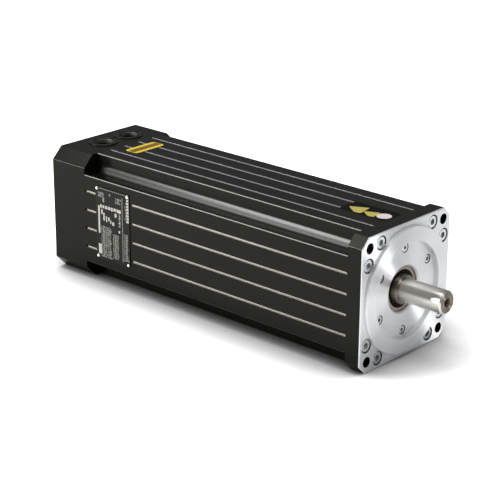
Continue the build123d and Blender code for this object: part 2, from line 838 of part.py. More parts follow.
def end_insulator(face_x, away):
    """A moulded end cap on the core: plate under the coils, walls inside and outside them."""
    inner = air_bore_radius + coil_gap
    outer = slot_bottom_radius + insulator_wall
    slot_gap = slot_opening + insulator_slot_room
    with BuildPart() as cap:
        with BuildSketch(Plane.YZ.offset(face_x)):
            Circle(outer)
            Circle(slot_bottom_radius, mode=Mode.SUBTRACT)
            Circle(shoe_radius)
            with PolarLocations((shoe_radius + slot_bottom_radius) / 2, slot_count):
                Rectangle(
                    slot_bottom_radius - shoe_radius + tooth_root_overlap, tooth_width + coil_gap
                )
            Circle(inner, mode=Mode.SUBTRACT)
            with PolarLocations(shoe_radius, slot_count, start_angle=180 / slot_count):
                Rectangle(3 * tooth_shoe_thickness, slot_gap, mode=Mode.SUBTRACT)
        extrude(amount=away * insulator_plate)
        with BuildSketch(Plane.YZ.offset(face_x + away * insulator_plate)):
            Circle(outer)
            Circle(slot_bottom_radius, mode=Mode.SUBTRACT)
            Circle(shoe_radius)
            Circle(inner, mode=Mode.SUBTRACT)
            with PolarLocations(shoe_radius, slot_count, start_angle=180 / slot_count):
                Rectangle(3 * tooth_shoe_thickness, slot_gap, mode=Mode.SUBTRACT)
        extrude(amount=away * (insulator_wall_height - insulator_plate))
    return cap


front_insulator = end_insulator(core_front_x, 1)
rear_insulator = end_insulator(core_back, -1)

# Ring on the rear end cap where the coil ends are joined to the phase leads
terminal_x = core_back - insulator_wall_height
phase_terminal_ring = ring(
    terminal_x - terminal_ring_thickness,
    terminal_x,
    terminal_ring_bore,
    slot_bottom_radius + insulator_wall,
)

# Thermistor bead lying on a coil's end turn
with BuildPart() as winding_thermistor:
    bead_x = core_back - coil_end_gap - coil_side_width - thermistor_radius
    bead_radius = coil_base_radius + coil_height / 2
    with BuildSketch(Plane.XY.offset(bead_radius - thermistor_length / 2)):
        with Locations((bead_x, 0)):
            Circle(thermistor_radius)
    extrude(amount=thermistor_length)

# Rotor core with eight flats, seated on the shaft between the balance discs
rotor_front = core_front_x - balance_disc_thickness
rotor_back = core_back + balance_disc_thickness
with BuildPart() as rotor_core:
    with BuildSketch(Plane.YZ.offset(rotor_back)):
        RegularPolygon(
            magnet_base_distance - magnet_base_gap,
            pole_count,
            major_radius=False,
            rotation=180 / pole_count,
        )
        Circle(rotor_seat_radius, mode=Mode.SUBTRACT)
    extrude(amount=rotor_front - rotor_back)

# Magnets: loaf-shaped blocks on the flats, in three rows
row_length = (rotor_front - rotor_back - (magnet_rows - 1) * magnet_row_gap) / magnet_rows
with BuildPart() as rotor_magnets:
    base_half = magnet_base_distance * sin(radians(magnet_half_angle))
    edge_height = magnet_outer_radius * cos(radians(magnet_half_angle))
    edge_half = magnet_outer_radius * sin(radians(magnet_half_angle))
    for row in range(magnet_rows):
        row_back = rotor_back + row * (row_length + magnet_row_gap)
        for pole in range(pole_count):
            turn = 2 * pi * pole / pole_count
            pole_plane = Plane(
                origin=(row_back, 0, 0), x_dir=(0, cos(turn), sin(turn)), z_dir=(1, 0, 0)
            )
            with BuildSketch(pole_plane):
                with BuildLine():
                    arc = ThreePointArc(
                        (edge_height, -edge_half), (magnet_outer_radius, 0), (edge_height, edge_half)
                    )
                    Polyline(
                        arc @ 1,
                        (magnet_base_distance, base_half),
                        (magnet_base_distance, -base_half),
                        arc @ 0,
                    )
                make_face()
            extrude(amount=row_length)

rotor_sleeve = ring(rotor_back, rotor_front, sleeve_inner_radius, sleeve_outer_radius)


def balance_disc(face_x, away, start):
    """An end disc of the rotor, with shallow balancing holes drilled in its outer face."""
    with BuildPart() as disc:
        with BuildSketch(Plane.YZ.offset(face_x)):
            Circle(magnet_outer_radius)
            Circle(rotor_seat_radius, mode=Mode.SUBTRACT)
        extrude(amount=away * balance_disc_thickness)
        with BuildSketch(Plane.YZ.offset(face_x + away * balance_disc_thickness)):
            with PolarLocations(
                balance_hole_circle / 2, balance_hole_count, start, balance_hole_spread
            ):
                Circle(balance_hole_radius)
        extrude(amount=-away * balance_hole_depth, mode=Mode.SUBTRACT)
    return disc


front_balance_disc = balance_disc(rotor_front, 1, front_balance_start)
rear_balance_disc = balance_disc(rotor_back, -1, rear_balance_start)

# Encoder: base with posts, hub and glass disc on the shaft, board and reading head
with BuildPart() as encoder_base:
    with BuildSketch(Plane.YZ.offset(housing_back)):
        Circle(encoder_radius)
        Circle(encoder_base_bore, mode=Mode.SUBTRACT)
    extrude(amount=-encoder_base_thickness)
    with BuildSketch(Plane.YZ.offset(encoder_base_back)):
        with PolarLocations(
            encoder_post_circle / 2, encoder_screw_count, start_angle=180 / encoder_screw_count
        ):
            Circle(encoder_post_radius)
    extrude(amount=-encoder_post_height)
    with BuildSketch(Plane.YZ.offset(encoder_base_back)):
        with PolarLocations(encoder_screw_circle / 2, encoder_screw_count):
            Circle(encoder_screw_radius + thread_clearance)
    extrude(amount=encoder_base_thickness, mode=Mode.SUBTRACT)

encoder_screw_turns = [
    radians(360 * n / encoder_screw_count) for n in range(encoder_screw_count)
]
encoder_screws = socket_screws(
    [
        (
            encoder_base_back - encoder_screw_head_height,
            encoder_screw_circle / 2 * cos(turn),
            encoder_screw_circle / 2 * sin(turn),
        )
        for turn in encoder_screw_turns
    ],
    (-1, 0, 0),
    encoder_screw_head_radius,
    encoder_screw_head_height,
    encoder_screw_key,
    encoder_screw_radius - thread_clearance,
    encoder_screw_length,
)

with BuildPart() as encoder_hub:
    with BuildSketch(Plane.YZ.offset(encoder_hub_x)):
        Circle(encoder_hub_radius)
    extrude(amount=-encoder_hub_length)
    with BuildSketch(Plane.YZ.offset(encoder_disc_x)):
        Circle(encoder_nose_radius)
    extrude(amount=-(encoder_disc_thickness + encoder_nose_length))
    with BuildSketch(Plane.YZ.offset(encoder_hub_x)):
        Circle(encoder_journal_radius)
    extrude(amount=encoder_nose_x - encoder_hub_x, mode=Mode.SUBTRACT)

encoder_disc = ring(
    encoder_disc_x - encoder_disc_thickness, encoder_disc_x, encoder_nose_radius, encoder_disc_radius
)
encoder_board = ring(
    encoder_board_x - encoder_board_thickness,
    encoder_board_x,
    encoder_hub_radius,
    encoder_radius - encoder_wall - encoder_board_clearance,
)

with BuildPart() as encoder_reader:
    with BuildSketch(Plane.YZ.offset(encoder_board_x)):
        with Locations((0, encoder_disc_radius - encoder_reader_inset)):
            RectangleRounded(encoder_reader_width, encoder_reader_depth, encoder_reader_corner)
    extrude(amount=encoder_reader_height)

# Encoder cover, with a gland that reaches back to the cable under the signal connector
gland_front = encoder_cover_back + cable_gland_overlap
gland_back = connector_x - cable_gland_size / 2
with BuildPart() as encoder_cover:
    with BuildSketch(Plane.YZ.offset(encoder_base_back)):
        Circle(encoder_radius)
    extrude(amount=-encoder_cover_length)
    with BuildSketch(Plane.XY.offset(signal_y)):
        with Locations(((gland_front + gland_back) / 2, signal_y)):
            Rectangle(gland_front - gland_back, cable_gland_size)
    extrude(amount=cable_gland_top - signal_y)
    with BuildSketch(Plane.YZ.offset(encoder_base_back)):
        Circle(encoder_radius - encoder_wall)
    extrude(amount=-encoder_cover_length + encoder_wall, mode=Mode.SUBTRACT)


def connector_shell(centre_y):
    """A round flanged receptacle: a low flange with four screw seats round a deep well."""
    with BuildPart() as shell:
        with BuildSketch(Plane.XY.offset(flange_seat_z)):
            with Locations((connector_x, centre_y)):
                Circle(connector_flange_radius)
        extrude(amount=connector_flange_height)
        chamfer(faces().sort_by(Axis.Z)[-1].edges(), connector_rim_chamfer)
        with BuildSketch(Plane.XY.offset(flange_seat_z)):
            with Locations((connector_x, centre_y)):
                Circle(connector_body_radius)
        extrude(amount=insert_bottom - flange_seat_z)
        with BuildSketch(Plane.XY.offset(connector_top)):
            with Locations((connector_x, centre_y)):
                Circle(connector_well_radius)
        extrude(amount=insert_bottom - connector_top, mode=Mode.SUBTRACT)
        with Locations(Plane.XY.offset(connector_top)):
            with Locations((connector_x, centre_y)):
                with PolarLocations(connector_screw_circle / 2, connector_screw_count):
                    CounterBoreHole(
                        connector_screw_radius + thread_clearance,
                        connector_screw_head_radius + thread_clearance,
                        connector_screw_head_height + connector_screw_setback,
                        depth=connector_flange_height,
                    )
    return shell


def connector_insert(centre_y, pin_places, pin_radius):
    """The insulating block at the bottom of the well, bored for its pins."""
    with BuildPart() as insert:
        with BuildSketch(Plane.XY.offset(insert_bottom)):
            with Locations((connector_x, centre_y)):
                Circle(connector_well_radius - connector_seat_gap)
            with Locations(*pin_places):
                Circle(pin_radius + pin_clearance, mode=Mode.SUBTRACT)
        extrude(amount=connector_insert_thickness)
    return insert


def connector_pins(pin_places, pin_radius):
    """Round contact pins through an insert, with chamfered tips."""
    with BuildPart() as pins:
        with BuildSketch(Plane.XY.offset(insert_bottom)):
            with Locations(*pin_places):
                Circle(pin_radius)
        extrude(amount=connector_insert_thickness + pin_stand_up)
        chamfer(faces().group_by(Axis.Z)[-1].edges(), pin_chamfer_share * pin_radius)
    return pins


signal_pins = [
    (
        connector_x + circle / 2 * cos(2 * pi * n / count),
        signal_y + circle / 2 * sin(2 * pi * n / count),
    )
    for circle, count in (
        (signal_outer_circle, signal_outer_count),
        (signal_inner_circle, signal_inner_count),
    )
    for n in range(count)
]
power_shell = connector_shell(power_y)
signal_shell = connector_shell(signal_y)
power_insert = connector_insert(power_y, power_pins, power_pin_radius)
signal_insert = connector_insert(signal_y, signal_pins, signal_pin_radius)
power_contacts = connector_pins(power_pins, power_pin_radius)
signal_contacts = connector_pins(signal_pins, signal_pin_radius)

# Flat gaskets under the connector flanges
with BuildPart() as connector_gaskets:
    with BuildSketch(Plane.XY.offset(flange_seat_z)):
        for centre_y in (power_y, signal_y):
            with Locations((connector_x, centre_y)):
                Circle(connector_flange_radius)
                Circle(connector_body_radius + connector_seat_gap, mode=Mode.SUBTRACT)
                with PolarLocations(connector_screw_circle / 2, connector_screw_count):
                    Circle(connector_screw_radius, mode=Mode.SUBTRACT)
    extrude(amount=-gasket_thickness)

connector_screw_turns = [
    radians(360 * n / connector_screw_count) for n in range(connector_screw_count)
]
connector_screws = socket_screws(
    [
        (
            connector_x + connector_screw_circle / 2 * cos(turn),
            centre_y + connector_screw_circle / 2 * sin(turn),
            connector_top - connector_screw_setback,
        )
        for centre_y in (power_y, signal_y)
        for turn in connector_screw_turns
    ],
    (0, 0, 1),
    connector_screw_head_radius,
    connector_screw_head_height,
    connector_screw_key,
    connector_screw_radius - thread_clearance,
    connector_screw_length,
)

# Phase leads: along the housing from the terminal ring, then up into the power connector
with BuildPart() as phase_leads:
    for pin_x, pin_y in power_pins:
        level = lead_level if pin_x > connector_x else lead_level - lead_level_step
        start = (terminal_x - terminal_ring_thickness, pin_y, level)
        with BuildLine() as route:
            FilletPolyline(
                start,
                (pin_x, pin_y, level),
                (pin_x, pin_y, insert_bottom),
                radius=lead_bend_radius,
            )
        with BuildSketch(Plane(origin=start, z_dir=(-1, 0, 0))):
            Circle(power_pin_radius)
        sweep(path=route.line)

# Encoder cable, straight up from its gland to the signal connector
with BuildPart() as encoder_cable:
    with BuildSketch(Plane.XY.offset(cable_gland_top)):
        with Locations((connector_x, signal_y)):
            Circle(encoder_cable_radius)
    extrude(amount=insert_bottom - cable_gland_top)

# Nameplate with its four rivets on the long side
with BuildPart() as nameplate:
    with BuildSketch(Plane.XZ.offset(half)):
        with Locations((plate_centre_x, plate_centre_z)):
            RectangleRounded(plate_length, plate_height, plate_corner_radius)
            with GridLocations(rivet_spacing_x, rivet_spacing_z, 2, 2):
                Circle(rivet_shank_radius, mode=Mode.SUBTRACT)
    extrude(amount=plate_thickness)

with BuildPart() as nameplate_rivets:
    with BuildSketch(Plane.XZ.offset(half + plate_thickness)):
        with Locations((plate_centre_x, plate_centre_z)):
            with GridLocations(rivet_spacing_x, rivet_spacing_z, 2, 2):
                Circle(rivet_head_radius)
    extrude(amount=rivet_head_height)
    chamfer(faces().group_by(Axis.Y)[0].edges(), rivet_head_height / 2)
    with BuildSketch(Plane.XZ.offset(half + plate_thickness)):
        with Locations((plate_centre_x, plate_centre_z)):
            with GridLocations(rivet_spacing_x, rivet_spacing_z, 2, 2):
                Circle(rivet_shank_radius - thread_clearance)
    extrude(amount=-(plate_thickness + rivet_shank_length))

pieces = {
    "front_flange": front_flange,
    "stator_housing": stator_housing,
    "rear_housing": rear_housing,
    "flange_screws": flange_screws,
    "bearing_cap_screws": bearing_cap_screws,
    "rear_housing_screws": rear_housing_screws,
    "front_bearing_cap": front_bearing_cap,
    "shaft_seal": shaft_seal,
    "seal_spring": seal_spring,
    "front_oring": front_oring,
    "rear_oring": rear_oring,
    "front_bearing_outer_ring": front_outer_ring,
    "front_bearing_inner_ring": front_inner_ring,
    "front_bearing_balls": front_balls,
    "front_bearing_cage": front_cage,
    "rear_bearing_outer_ring": rear_outer_ring,
    "rear_bearing_inner_ring": rear_inner_ring,
    "rear_bearing_balls": rear_balls,
    "rear_bearing_cage": rear_cage,
    "rear_bearing_bracket": rear_bracket,
    "wave_spring": wave_spring,
    "shaft": shaft,
    "front_retaining_ring": front_retaining_ring,
    "rear_lock_nut": rear_lock_nut,
    "stator_core": stator_core,
    "stator_coils": stator_coils,
    "front_coil_insulator": front_insulator,
    "rear_coil_insulator": rear_insulator,
    "phase_terminal_ring": phase_terminal_ring,
    "winding_thermistor": winding_thermistor,
    "phase_leads": phase_leads,
    "rotor_core": rotor_core,
    "rotor_magnets": rotor_magnets,
    "rotor_sleeve": rotor_sleeve,
    "front_balance_disc": front_balance_disc,
    "rear_balance_disc": rear_balance_disc,
    "encoder_base": encoder_base,
    "encoder_screws": encoder_screws,
    "encoder_hub": encoder_hub,
    "encoder_disc": encoder_disc,
    "encoder_board": encoder_board,
    "encoder_reader": encoder_reader,
    "encoder_cover": encoder_cover,
    "encoder_cable": encoder_cable,
    "power_connector_shell": power_shell,
    "power_connector_insert": power_insert,
    "power_contacts": power_contacts,
    "signal_connector_shell": signal_shell,
    "signal_connector_insert": signal_insert,
    "signal_contacts": signal_contacts,
    "connector_gaskets": connector_gaskets,
    "connector_screws": connector_screws,
    "nameplate": nameplate,
    "nameplate_rivets": nameplate_rivets,
}

os.makedirs("parts", exist_ok=True)
for name, piece in pieces.items():
    piece.part.label = name
    export_step(piece.part, f"parts/{name}.step")
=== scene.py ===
"""Dresses the brushless servo motor: finishes on every piece, stickers, nameplate print, studio."""

from math import cos, radians, sin

import bmesh
import bpy
from mathutils import Matrix, Vector


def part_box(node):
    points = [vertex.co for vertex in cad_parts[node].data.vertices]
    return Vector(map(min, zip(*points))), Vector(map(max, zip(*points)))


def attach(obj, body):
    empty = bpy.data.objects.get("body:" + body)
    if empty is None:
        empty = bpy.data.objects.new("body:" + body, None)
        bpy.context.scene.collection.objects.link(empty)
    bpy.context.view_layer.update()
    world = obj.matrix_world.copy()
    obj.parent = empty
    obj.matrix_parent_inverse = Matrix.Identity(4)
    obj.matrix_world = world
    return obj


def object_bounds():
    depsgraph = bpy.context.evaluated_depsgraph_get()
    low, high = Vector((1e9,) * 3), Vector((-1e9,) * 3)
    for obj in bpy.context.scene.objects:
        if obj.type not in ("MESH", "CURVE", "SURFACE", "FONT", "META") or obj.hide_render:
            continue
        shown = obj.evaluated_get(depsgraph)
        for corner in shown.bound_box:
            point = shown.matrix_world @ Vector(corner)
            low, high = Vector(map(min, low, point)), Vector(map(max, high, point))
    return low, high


bl_info = {
    "name": "Brushless servo motor",
    "version": (1, 0, 0),
    "blender": (4, 5, 0),
    "location": "View3D > Sidebar > Servo motor",
    "description": "Finishes, stickers and studio for a square-frame servo motor",
    "category": "Object",
}

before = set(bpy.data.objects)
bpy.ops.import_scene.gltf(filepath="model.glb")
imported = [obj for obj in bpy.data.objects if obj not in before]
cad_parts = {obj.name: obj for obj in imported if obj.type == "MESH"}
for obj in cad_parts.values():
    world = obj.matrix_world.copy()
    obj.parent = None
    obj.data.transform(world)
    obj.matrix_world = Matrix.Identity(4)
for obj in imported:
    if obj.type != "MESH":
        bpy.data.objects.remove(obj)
cad_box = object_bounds()

MM = 0.001
BODY = "motor_body"
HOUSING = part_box("stator_housing")
HALF_FRAME = HOUSING[1].z
FLANGE_CUT = 10 * MM
REAR_CUT = 13 * MM
# The enamel's sheen leans to olive
OLIVE_SHEEN = (1.0, 0.99, 0.82, 1)


def linear(code):
    """Turns an sRGB hex colour such as #1A2B3C to linear red, green and blue."""
    shares = [int(code[i : i + 2], 16) / 255 for i in (1, 3, 5)]
    return [s / 12.92 if s <= 0.04045 else ((s + 0.055) / 1.055) ** 2.4 for s in shares]


def size_prop(name, description, default):
    """A length in metres."""
    return bpy.props.FloatProperty(
        name=name, description=description, default=default, min=0, unit="LENGTH", precision=5
    )


def strength_prop(name, description, default):
    """A lamp's power in watts, or a plain strength."""
    return bpy.props.FloatProperty(name=name, description=description, default=default, min=0)


def colour_prop(name, description, code):
    """A colour, given as sRGB hex."""
    return bpy.props.FloatVectorProperty(
        name=name, description=description, default=linear(code), subtype="COLOR", min=0, max=1
    )


class MotorColours(bpy.types.PropertyGroup):
    """Colours of the pieces that show."""

    paint: colour_prop("Paint", "Black paint of the housings and the flange's sides", "#0C0C09")
    flange: colour_prop("Flange", "Turned aluminium of the mounting face", "#DEDFE2")
    groove: colour_prop("Grooves", "Bare aluminium in the grooves and on the edges", "#918F88")
    screw: colour_prop("Screws", "Zinc plating of the socket screws", "#C6CACC")
    shaft: colour_prop("Shaft", "Ground steel of the shaft", "#D6D3CB")
    shaft_end: colour_prop("Shaft's end", "Turned steel of the shaft's end and shoulder", "#7F7971")
    label: colour_prop("Label", "Yellow of the long label", "#CBB539")
    label_band: colour_prop("Label band", "Darker band along the label", "#6F5009")
    patch: colour_prop("Patches", "Yellow of the two patches", "#ABA04C")
    disc: colour_prop("Disc", "Pale round sticker", "#CEC5C4")
    faint_ink: colour_prop("Faint print", "Grey print on the nameplate", "#585751")
    strong_ink: colour_prop("Strong print", "White print on the nameplate", "#8B8A83")


class MotorSizes(bpy.types.PropertyGroup):
    """Sizes of the stickers and of the print."""

    label_length: size_prop("Label length", "Label, across the motor", 44 * MM)
    label_width: size_prop("Label width", "Label, along the motor", 18 * MM)
    label_x: size_prop("Label place", "From the mounting face back to the label's middle", 361 * MM)
    label_corner: size_prop("Label corners", "Radius of the label's corners", 4 * MM)
    base_length: size_prop("Dark sticker length", "Along the motor", 57.6 * MM)
    base_width: size_prop("Dark sticker width", "Across the motor", 28 * MM)
    base_x: size_prop("Dark sticker place", "From the mounting face back to its middle", 46.6 * MM)
    base_corner: size_prop("Dark sticker corners", "Radius of the dark sticker's corners", 2 * MM)
    patch_corner: size_prop("Patch corners", "Radius of the yellow patches' corners", 1.6 * MM)
    disc_radius: size_prop("Disc radius", "Pale round sticker", 7.6 * MM)
    disc_x: size_prop("Disc place", "From the mounting face back to the disc's middle", 26.7 * MM)
    disc_y: size_prop("Disc's shift", "From the motor's middle towards the nameplate", 3 * MM)
    film: size_prop("Sticker thickness", "Thickness of one sticker", 0.12 * MM)
    ink: size_prop("Print thickness", "How far the print stands off the plate", 0.06 * MM)


class MotorStudio(bpy.types.PropertyGroup):
    """Light and floor."""

    sky: strength_prop("Sky", "Strength of the plain light from all round", 0.22)
    left: strength_prop("Left lamp", "Watts of the tall softbox beside the motor", 39)
    above: strength_prop("Upper lamp", "Watts of the panel over the motor's left", 21)
    right: strength_prop("Right lamp", "Watts of the softbox ahead of the shaft", 5.5)
    top: strength_prop("Top lamp", "Watts of the panel straight above", 8)
    floor: colour_prop("Floor", "Pale plain floor", "#F0F0F0")
    lift: strength_prop("Floor's own light", "How far the seen floor is lifted to white", 0.72)
    shine_lift: strength_prop("Floor in shine", "The same, where the floor mirrors in a piece", 0.4)
    reach: size_prop("Shadow's reach", "How far the motor's contact shadow spreads", 80 * MM)
    fall: strength_prop("Shadow's fall", "How fast that shadow fades outwards", 1.9)


# Materials


def add_node(tree, kind, settings=None, links=None):
    """Adds a node. Settings name sockets or properties, links name sockets and what feeds them."""
    node = tree.nodes.new(kind)
    for key, value in (settings or {}).items():
        if isinstance(key, int) or key in node.inputs:
            node.inputs[key].default_value = value
        else:
            setattr(node, key, value)
    for key, source in (links or {}).items():
        tree.links.new(source, node.inputs[key])
    return node


def ring_place(tree, place):
    """Makes distance from the shaft's axis and place along it of a place: noise there is rings."""
    parts = add_node(tree, "ShaderNodeSeparateXYZ", links={0: place})
    squares = [
        add_node(tree, "ShaderNodeMath", {"operation": "MULTIPLY"}, {0: axis, 1: axis})
        for axis in (parts.outputs["Y"], parts.outputs["Z"])
    ]
    total = add_node(
        tree, "ShaderNodeMath", links={n: square.outputs[0] for n, square in enumerate(squares)}
    )
    radius = add_node(tree, "ShaderNodeMath", {"operation": "SQRT"}, {0: total.outputs[0]})
    return add_node(
        tree, "ShaderNodeCombineXYZ", links={"X": radius.outputs[0], "Y": parts.outputs["X"]}
    ).outputs[0]


def ramp_along(tree, place, target, at_rear, at_front):
    """Feeds a socket a value that changes evenly from the housing's rear to its front."""
    along = add_node(tree, "ShaderNodeSeparateXYZ", links={0: place}).outputs["X"]
    ends = {"From Min": HOUSING[0].x, "From Max": HOUSING[1].x}
    ends.update({"To Min": at_rear, "To Max": at_front})
    slope = add_node(tree, "ShaderNodeMapRange", ends, {"Value": along})
    tree.links.new(slope.outputs[0], target)


def finish(name, colour, roughness, grain, **look):
    """A surface whose colour, gloss and relief wander a little.

    grain is the pattern's size in millimetres and stretch how far it is drawn out along X, Y and Z.
    turned makes the pattern rings about the shaft axis, as a lathe does, and says how far they fan
    the light out. tone, gloss and relief say how much colour, roughness and height (in millimetres)
    wander. ramp names a socket and its values at the housing's rear and front end. What is left are
    shader sockets.
    """
    known = bpy.data.materials.get(name)
    if known:
        return known
    turned, ramp = look.pop("turned", 0.0), look.pop("ramp", None)
    stretch = look.pop("stretch", (1, 1, 1))
    tone, gloss, relief = look.pop("tone", 0.1), look.pop("gloss", 0.05), look.pop("relief", 0.0)
    material = bpy.data.materials.new(name)
    material.use_nodes = True
    tree = material.node_tree
    shader = tree.nodes["Principled BSDF"]
    place = add_node(tree, "ShaderNodeTexCoord").outputs["Object"]
    if ramp:
        socket, at_rear, at_front = ramp
        ramp_along(tree, place, shader.inputs[socket], at_rear, at_front)
    if turned:
        place = ring_place(tree, place)
        tangent = add_node(tree, "ShaderNodeTangent", {"direction_type": "RADIAL", "axis": "X"})
        tree.links.new(tangent.outputs[0], shader.inputs["Tangent"])
        look.update({"Anisotropic": turned, "Anisotropic Rotation": 0.25})
    spread = [1 / (grain * MM * s) for s in stretch]
    scaled = add_node(tree, "ShaderNodeMapping", {"Scale": spread}, {"Vector": place})
    noise = add_node(
        tree,
        "ShaderNodeTexNoise",
        {"Scale": 1.0, "Detail": 3.0, "Roughness": 0.6},
        {"Vector": scaled.outputs[0]},
    )
    wander = noise.outputs["Fac"]
    shade = add_node(
        tree, "ShaderNodeMapRange", {"To Min": 1 - tone, "To Max": 1 + tone}, {"Value": wander}
    )
    tinted = add_node(
        tree,
        "ShaderNodeMix",
        {"data_type": "RGBA", "blend_type": "MULTIPLY", "factor_mode": "UNIFORM"},
    )
    tinted.inputs[0].default_value = 1.0
    tinted.inputs[6].default_value = (*colour, 1)
    tree.links.new(shade.outputs[0], tinted.inputs[7])
    tree.links.new(tinted.outputs[2], shader.inputs["Base Color"])
    rough = add_node(
        tree,
        "ShaderNodeMapRange",
        {"To Min": roughness - gloss, "To Max": roughness + gloss},
        {"Value": wander},
    )
    tree.links.new(rough.outputs[0], shader.inputs["Roughness"])
    if relief:
        bump = add_node(
            tree, "ShaderNodeBump", {"Strength": 1.0, "Distance": relief * MM}, {"Height": wander}
        )
        tree.links.new(bump.outputs[0], shader.inputs["Normal"])
    for socket, value in look.items():
        shader.inputs[socket].default_value = value
    return material


def housing_paint():
    """Baked black enamel on aluminium: satin, faintly olive, its peel drawn coarser than real, its
    sheen rising towards the front end as painted sheen.
    """
    colour = bpy.context.scene.motor_colours.paint
    # The ramp raises the sheen from the rear end to the front end: painted sheen.
    return finish(
        "baked black enamel", colour, 0.2, 2.5, tone=0.12, gloss=0.03, relief=0.002,
        ramp=("Specular IOR Level", 0.068, 0.105), **{"Specular Tint": OLIVE_SHEEN},
    )


def notch_sheen_paint():
    """The same enamel on part of the notches' fillets: glossier, as a painted sheen strip that is
    brightest near the flange.
    """
    colour = bpy.context.scene.motor_colours.paint
    return finish(
        "black enamel with painted notch sheen", colour, 0.26, 2.5, tone=0.12, gloss=0.03, relief=0.002,
        ramp=("Specular IOR Level", 0.2, 0.34),
    )


def cast_paint():
    """The same enamel on the cast rear housing, where it lies a little rougher and duller."""
    colour = bpy.context.scene.motor_colours.paint
    return finish(
        "baked black enamel on casting", colour, 0.24, 1.6, tone=0.15, gloss=0.04, relief=0.003,
        **{"Specular IOR Level": 0.064, "Specular Tint": OLIVE_SHEEN},
    )


def bare_aluminium():
    """Extruded aluminium without paint: bright, with long drawn lines along the motor."""
    colour = bpy.context.scene.motor_colours.groove
    return finish(
        "drawn bare aluminium", colour, 0.5, 0.8, stretch=(60, 1, 1), tone=0.1, gloss=0.08,
        Metallic=1.0,
    )


def top_lit_aluminium():
    """The same in the top's grooves, drawn lighter as painted light from above."""
    return finish(
        "bare aluminium painted lighter on top", linear("#AFB1B3"), 0.5, 0.8, stretch=(60, 1, 1), tone=0.1,
        gloss=0.08, Metallic=1.0,
    )


def edge_and_highlight_aluminium():
    """The same, darker, on the notches' edges and on the strips that paint edge highlights on the
    cut corners.
    """
    return finish(
        "darker bare aluminium of edges and painted highlights", linear("#6B6965"), 0.5, 0.8, stretch=(60, 1, 1), tone=0.15,
        gloss=0.08, Metallic=1.0,
    )


def flange_face():
    """Face-turned aluminium: silver, with fine rings that fan the light out from the shaft."""
    colour = bpy.context.scene.motor_colours.flange
    return finish(
        "face-turned aluminium", colour, 0.37, 2.2, turned=1.0, tone=0.13, gloss=0.05,
        relief=0.003, Metallic=0.78,
    )


def turned_walls():
    """Turned aluminium of the pilot's side and the recess's wall: coarser and more even."""
    return finish(
        "turned aluminium walls", linear("#E9EAEC"), 0.5, 0.6, tone=0.08, gloss=0.05, Metallic=0.85
    )


def shaded_bore_aluminium():
    """Bored aluminium of the screws' counterbores: dull and dark, as painted shade in the bores."""
    return finish("bore aluminium darkened as painted shade", linear("#4A4B4C"), 0.6, 0.6, tone=0.1, Metallic=0.9)


def cast_aluminium():
    """Die-cast aluminium inside: dull grey and slightly pitted."""
    return finish(
        "die-cast aluminium", linear("#A9AAAB"), 0.5, 1.5, tone=0.1, relief=0.02, Metallic=1.0
    )


def zinc_plating():
    """Blue passivated zinc on steel screws: cool and smooth."""
    colour = bpy.context.scene.motor_colours.screw
    return finish("blue zinc plating", colour, 0.26, 2.0, tone=0.08, gloss=0.05, Metallic=1.0)


def ground_steel():
    """Ground shaft steel: warm silver with fine rings across the shaft."""
    colour = bpy.context.scene.motor_colours.shaft
    return finish(
        "ground shaft steel", colour, 0.3, 0.7, turned=0.8, tone=0.08, gloss=0.06, relief=0.002,
        Metallic=1.0,
    )


def turned_steel():
    """Face-turned shaft steel: dull, with a bright fan where the light falls along it."""
    colour = bpy.context.scene.motor_colours.shaft_end
    return finish(
        "face-turned shaft steel", colour, 0.4, 0.7, turned=1.0, tone=0.15, gloss=0.06,
        relief=0.003, Metallic=1.0,
    )


def bearing_steel():
    """Polished chrome steel of rings and balls."""
    return finish("polished bearing steel", linear("#CDCFD2"), 0.14, 3.0, tone=0.04, Metallic=1.0)


def pressed_steel():
    """Pressed cage steel: grey, rolled, a little dull."""
    return finish("pressed cage steel", linear("#A6A39C"), 0.32, 2.0, tone=0.08, Metallic=1.0)


def shaded_hole_steel():
    """Drilled steel of the shaft's centre hole: dark, as painted shade in the hole."""
    return finish("centre hole steel darkened as painted shade", linear("#5C554D"), 0.5, 0.8, tone=0.1, Metallic=0.8)


def seal_cover_steel():
    """Pressed cover of the shaft seal: warm grey and satin, with soft turned rings."""
    return finish(
        "pressed seal cover steel", linear("#8B807A"), 0.42, 1.5, turned=0.8, tone=0.15,
        relief=0.004, Metallic=0.9,
    )


def seal_rim_highlight_steel():
    """Rolled inner rim of that cover: drawn yellower and brighter as a painted highlight."""
    return finish("seal cover rim with painted highlight", linear("#A89F8C"), 0.3, 1.0, tone=0.06, Metallic=1.0)


def spring_steel():
    """Tempered spring steel: dark straw grey."""
    return finish("tempered spring steel", linear("#85827B"), 0.3, 2.0, tone=0.08, Metallic=1.0)


def nitrile_rubber():
    """Moulded nitrile rubber: black, with a soft dull sheen."""
    return finish(
        "nitrile rubber", linear("#050505"), 0.6, 1.0, tone=0.15, relief=0.005,
        **{"Specular IOR Level": 0.06},
    )


def laminations():
    """Stacked electrical steel: thin sheets on edge, drawn as coarse as they need to show."""
    return finish(
        "stacked electrical steel", linear("#7B7E83"), 0.42, 1.3, stretch=(1, 40, 40), tone=0.25,
        relief=0.02, Metallic=1.0,
    )


def enamelled_copper():
    """Enamelled copper wire laid side by side: red brown and shiny, with the turns as fine ribs."""
    return finish(
        "enamelled copper wire", linear("#A4582C"), 0.28, 1.1, stretch=(30, 1, 1), tone=0.25,
        relief=0.08, Metallic=0.8,
    )


def white_polyester():
    """Moulded glass-filled polyester: off-white and satin."""
    return finish("moulded white polyester", linear("#E4E1D8"), 0.45, 2.0, tone=0.04, relief=0.004)


def black_polyamide():
    """Moulded black polyamide: dark and satin."""
    return finish("moulded black polyamide", linear("#1E1F20"), 0.45, 1.0, tone=0.1, relief=0.004)


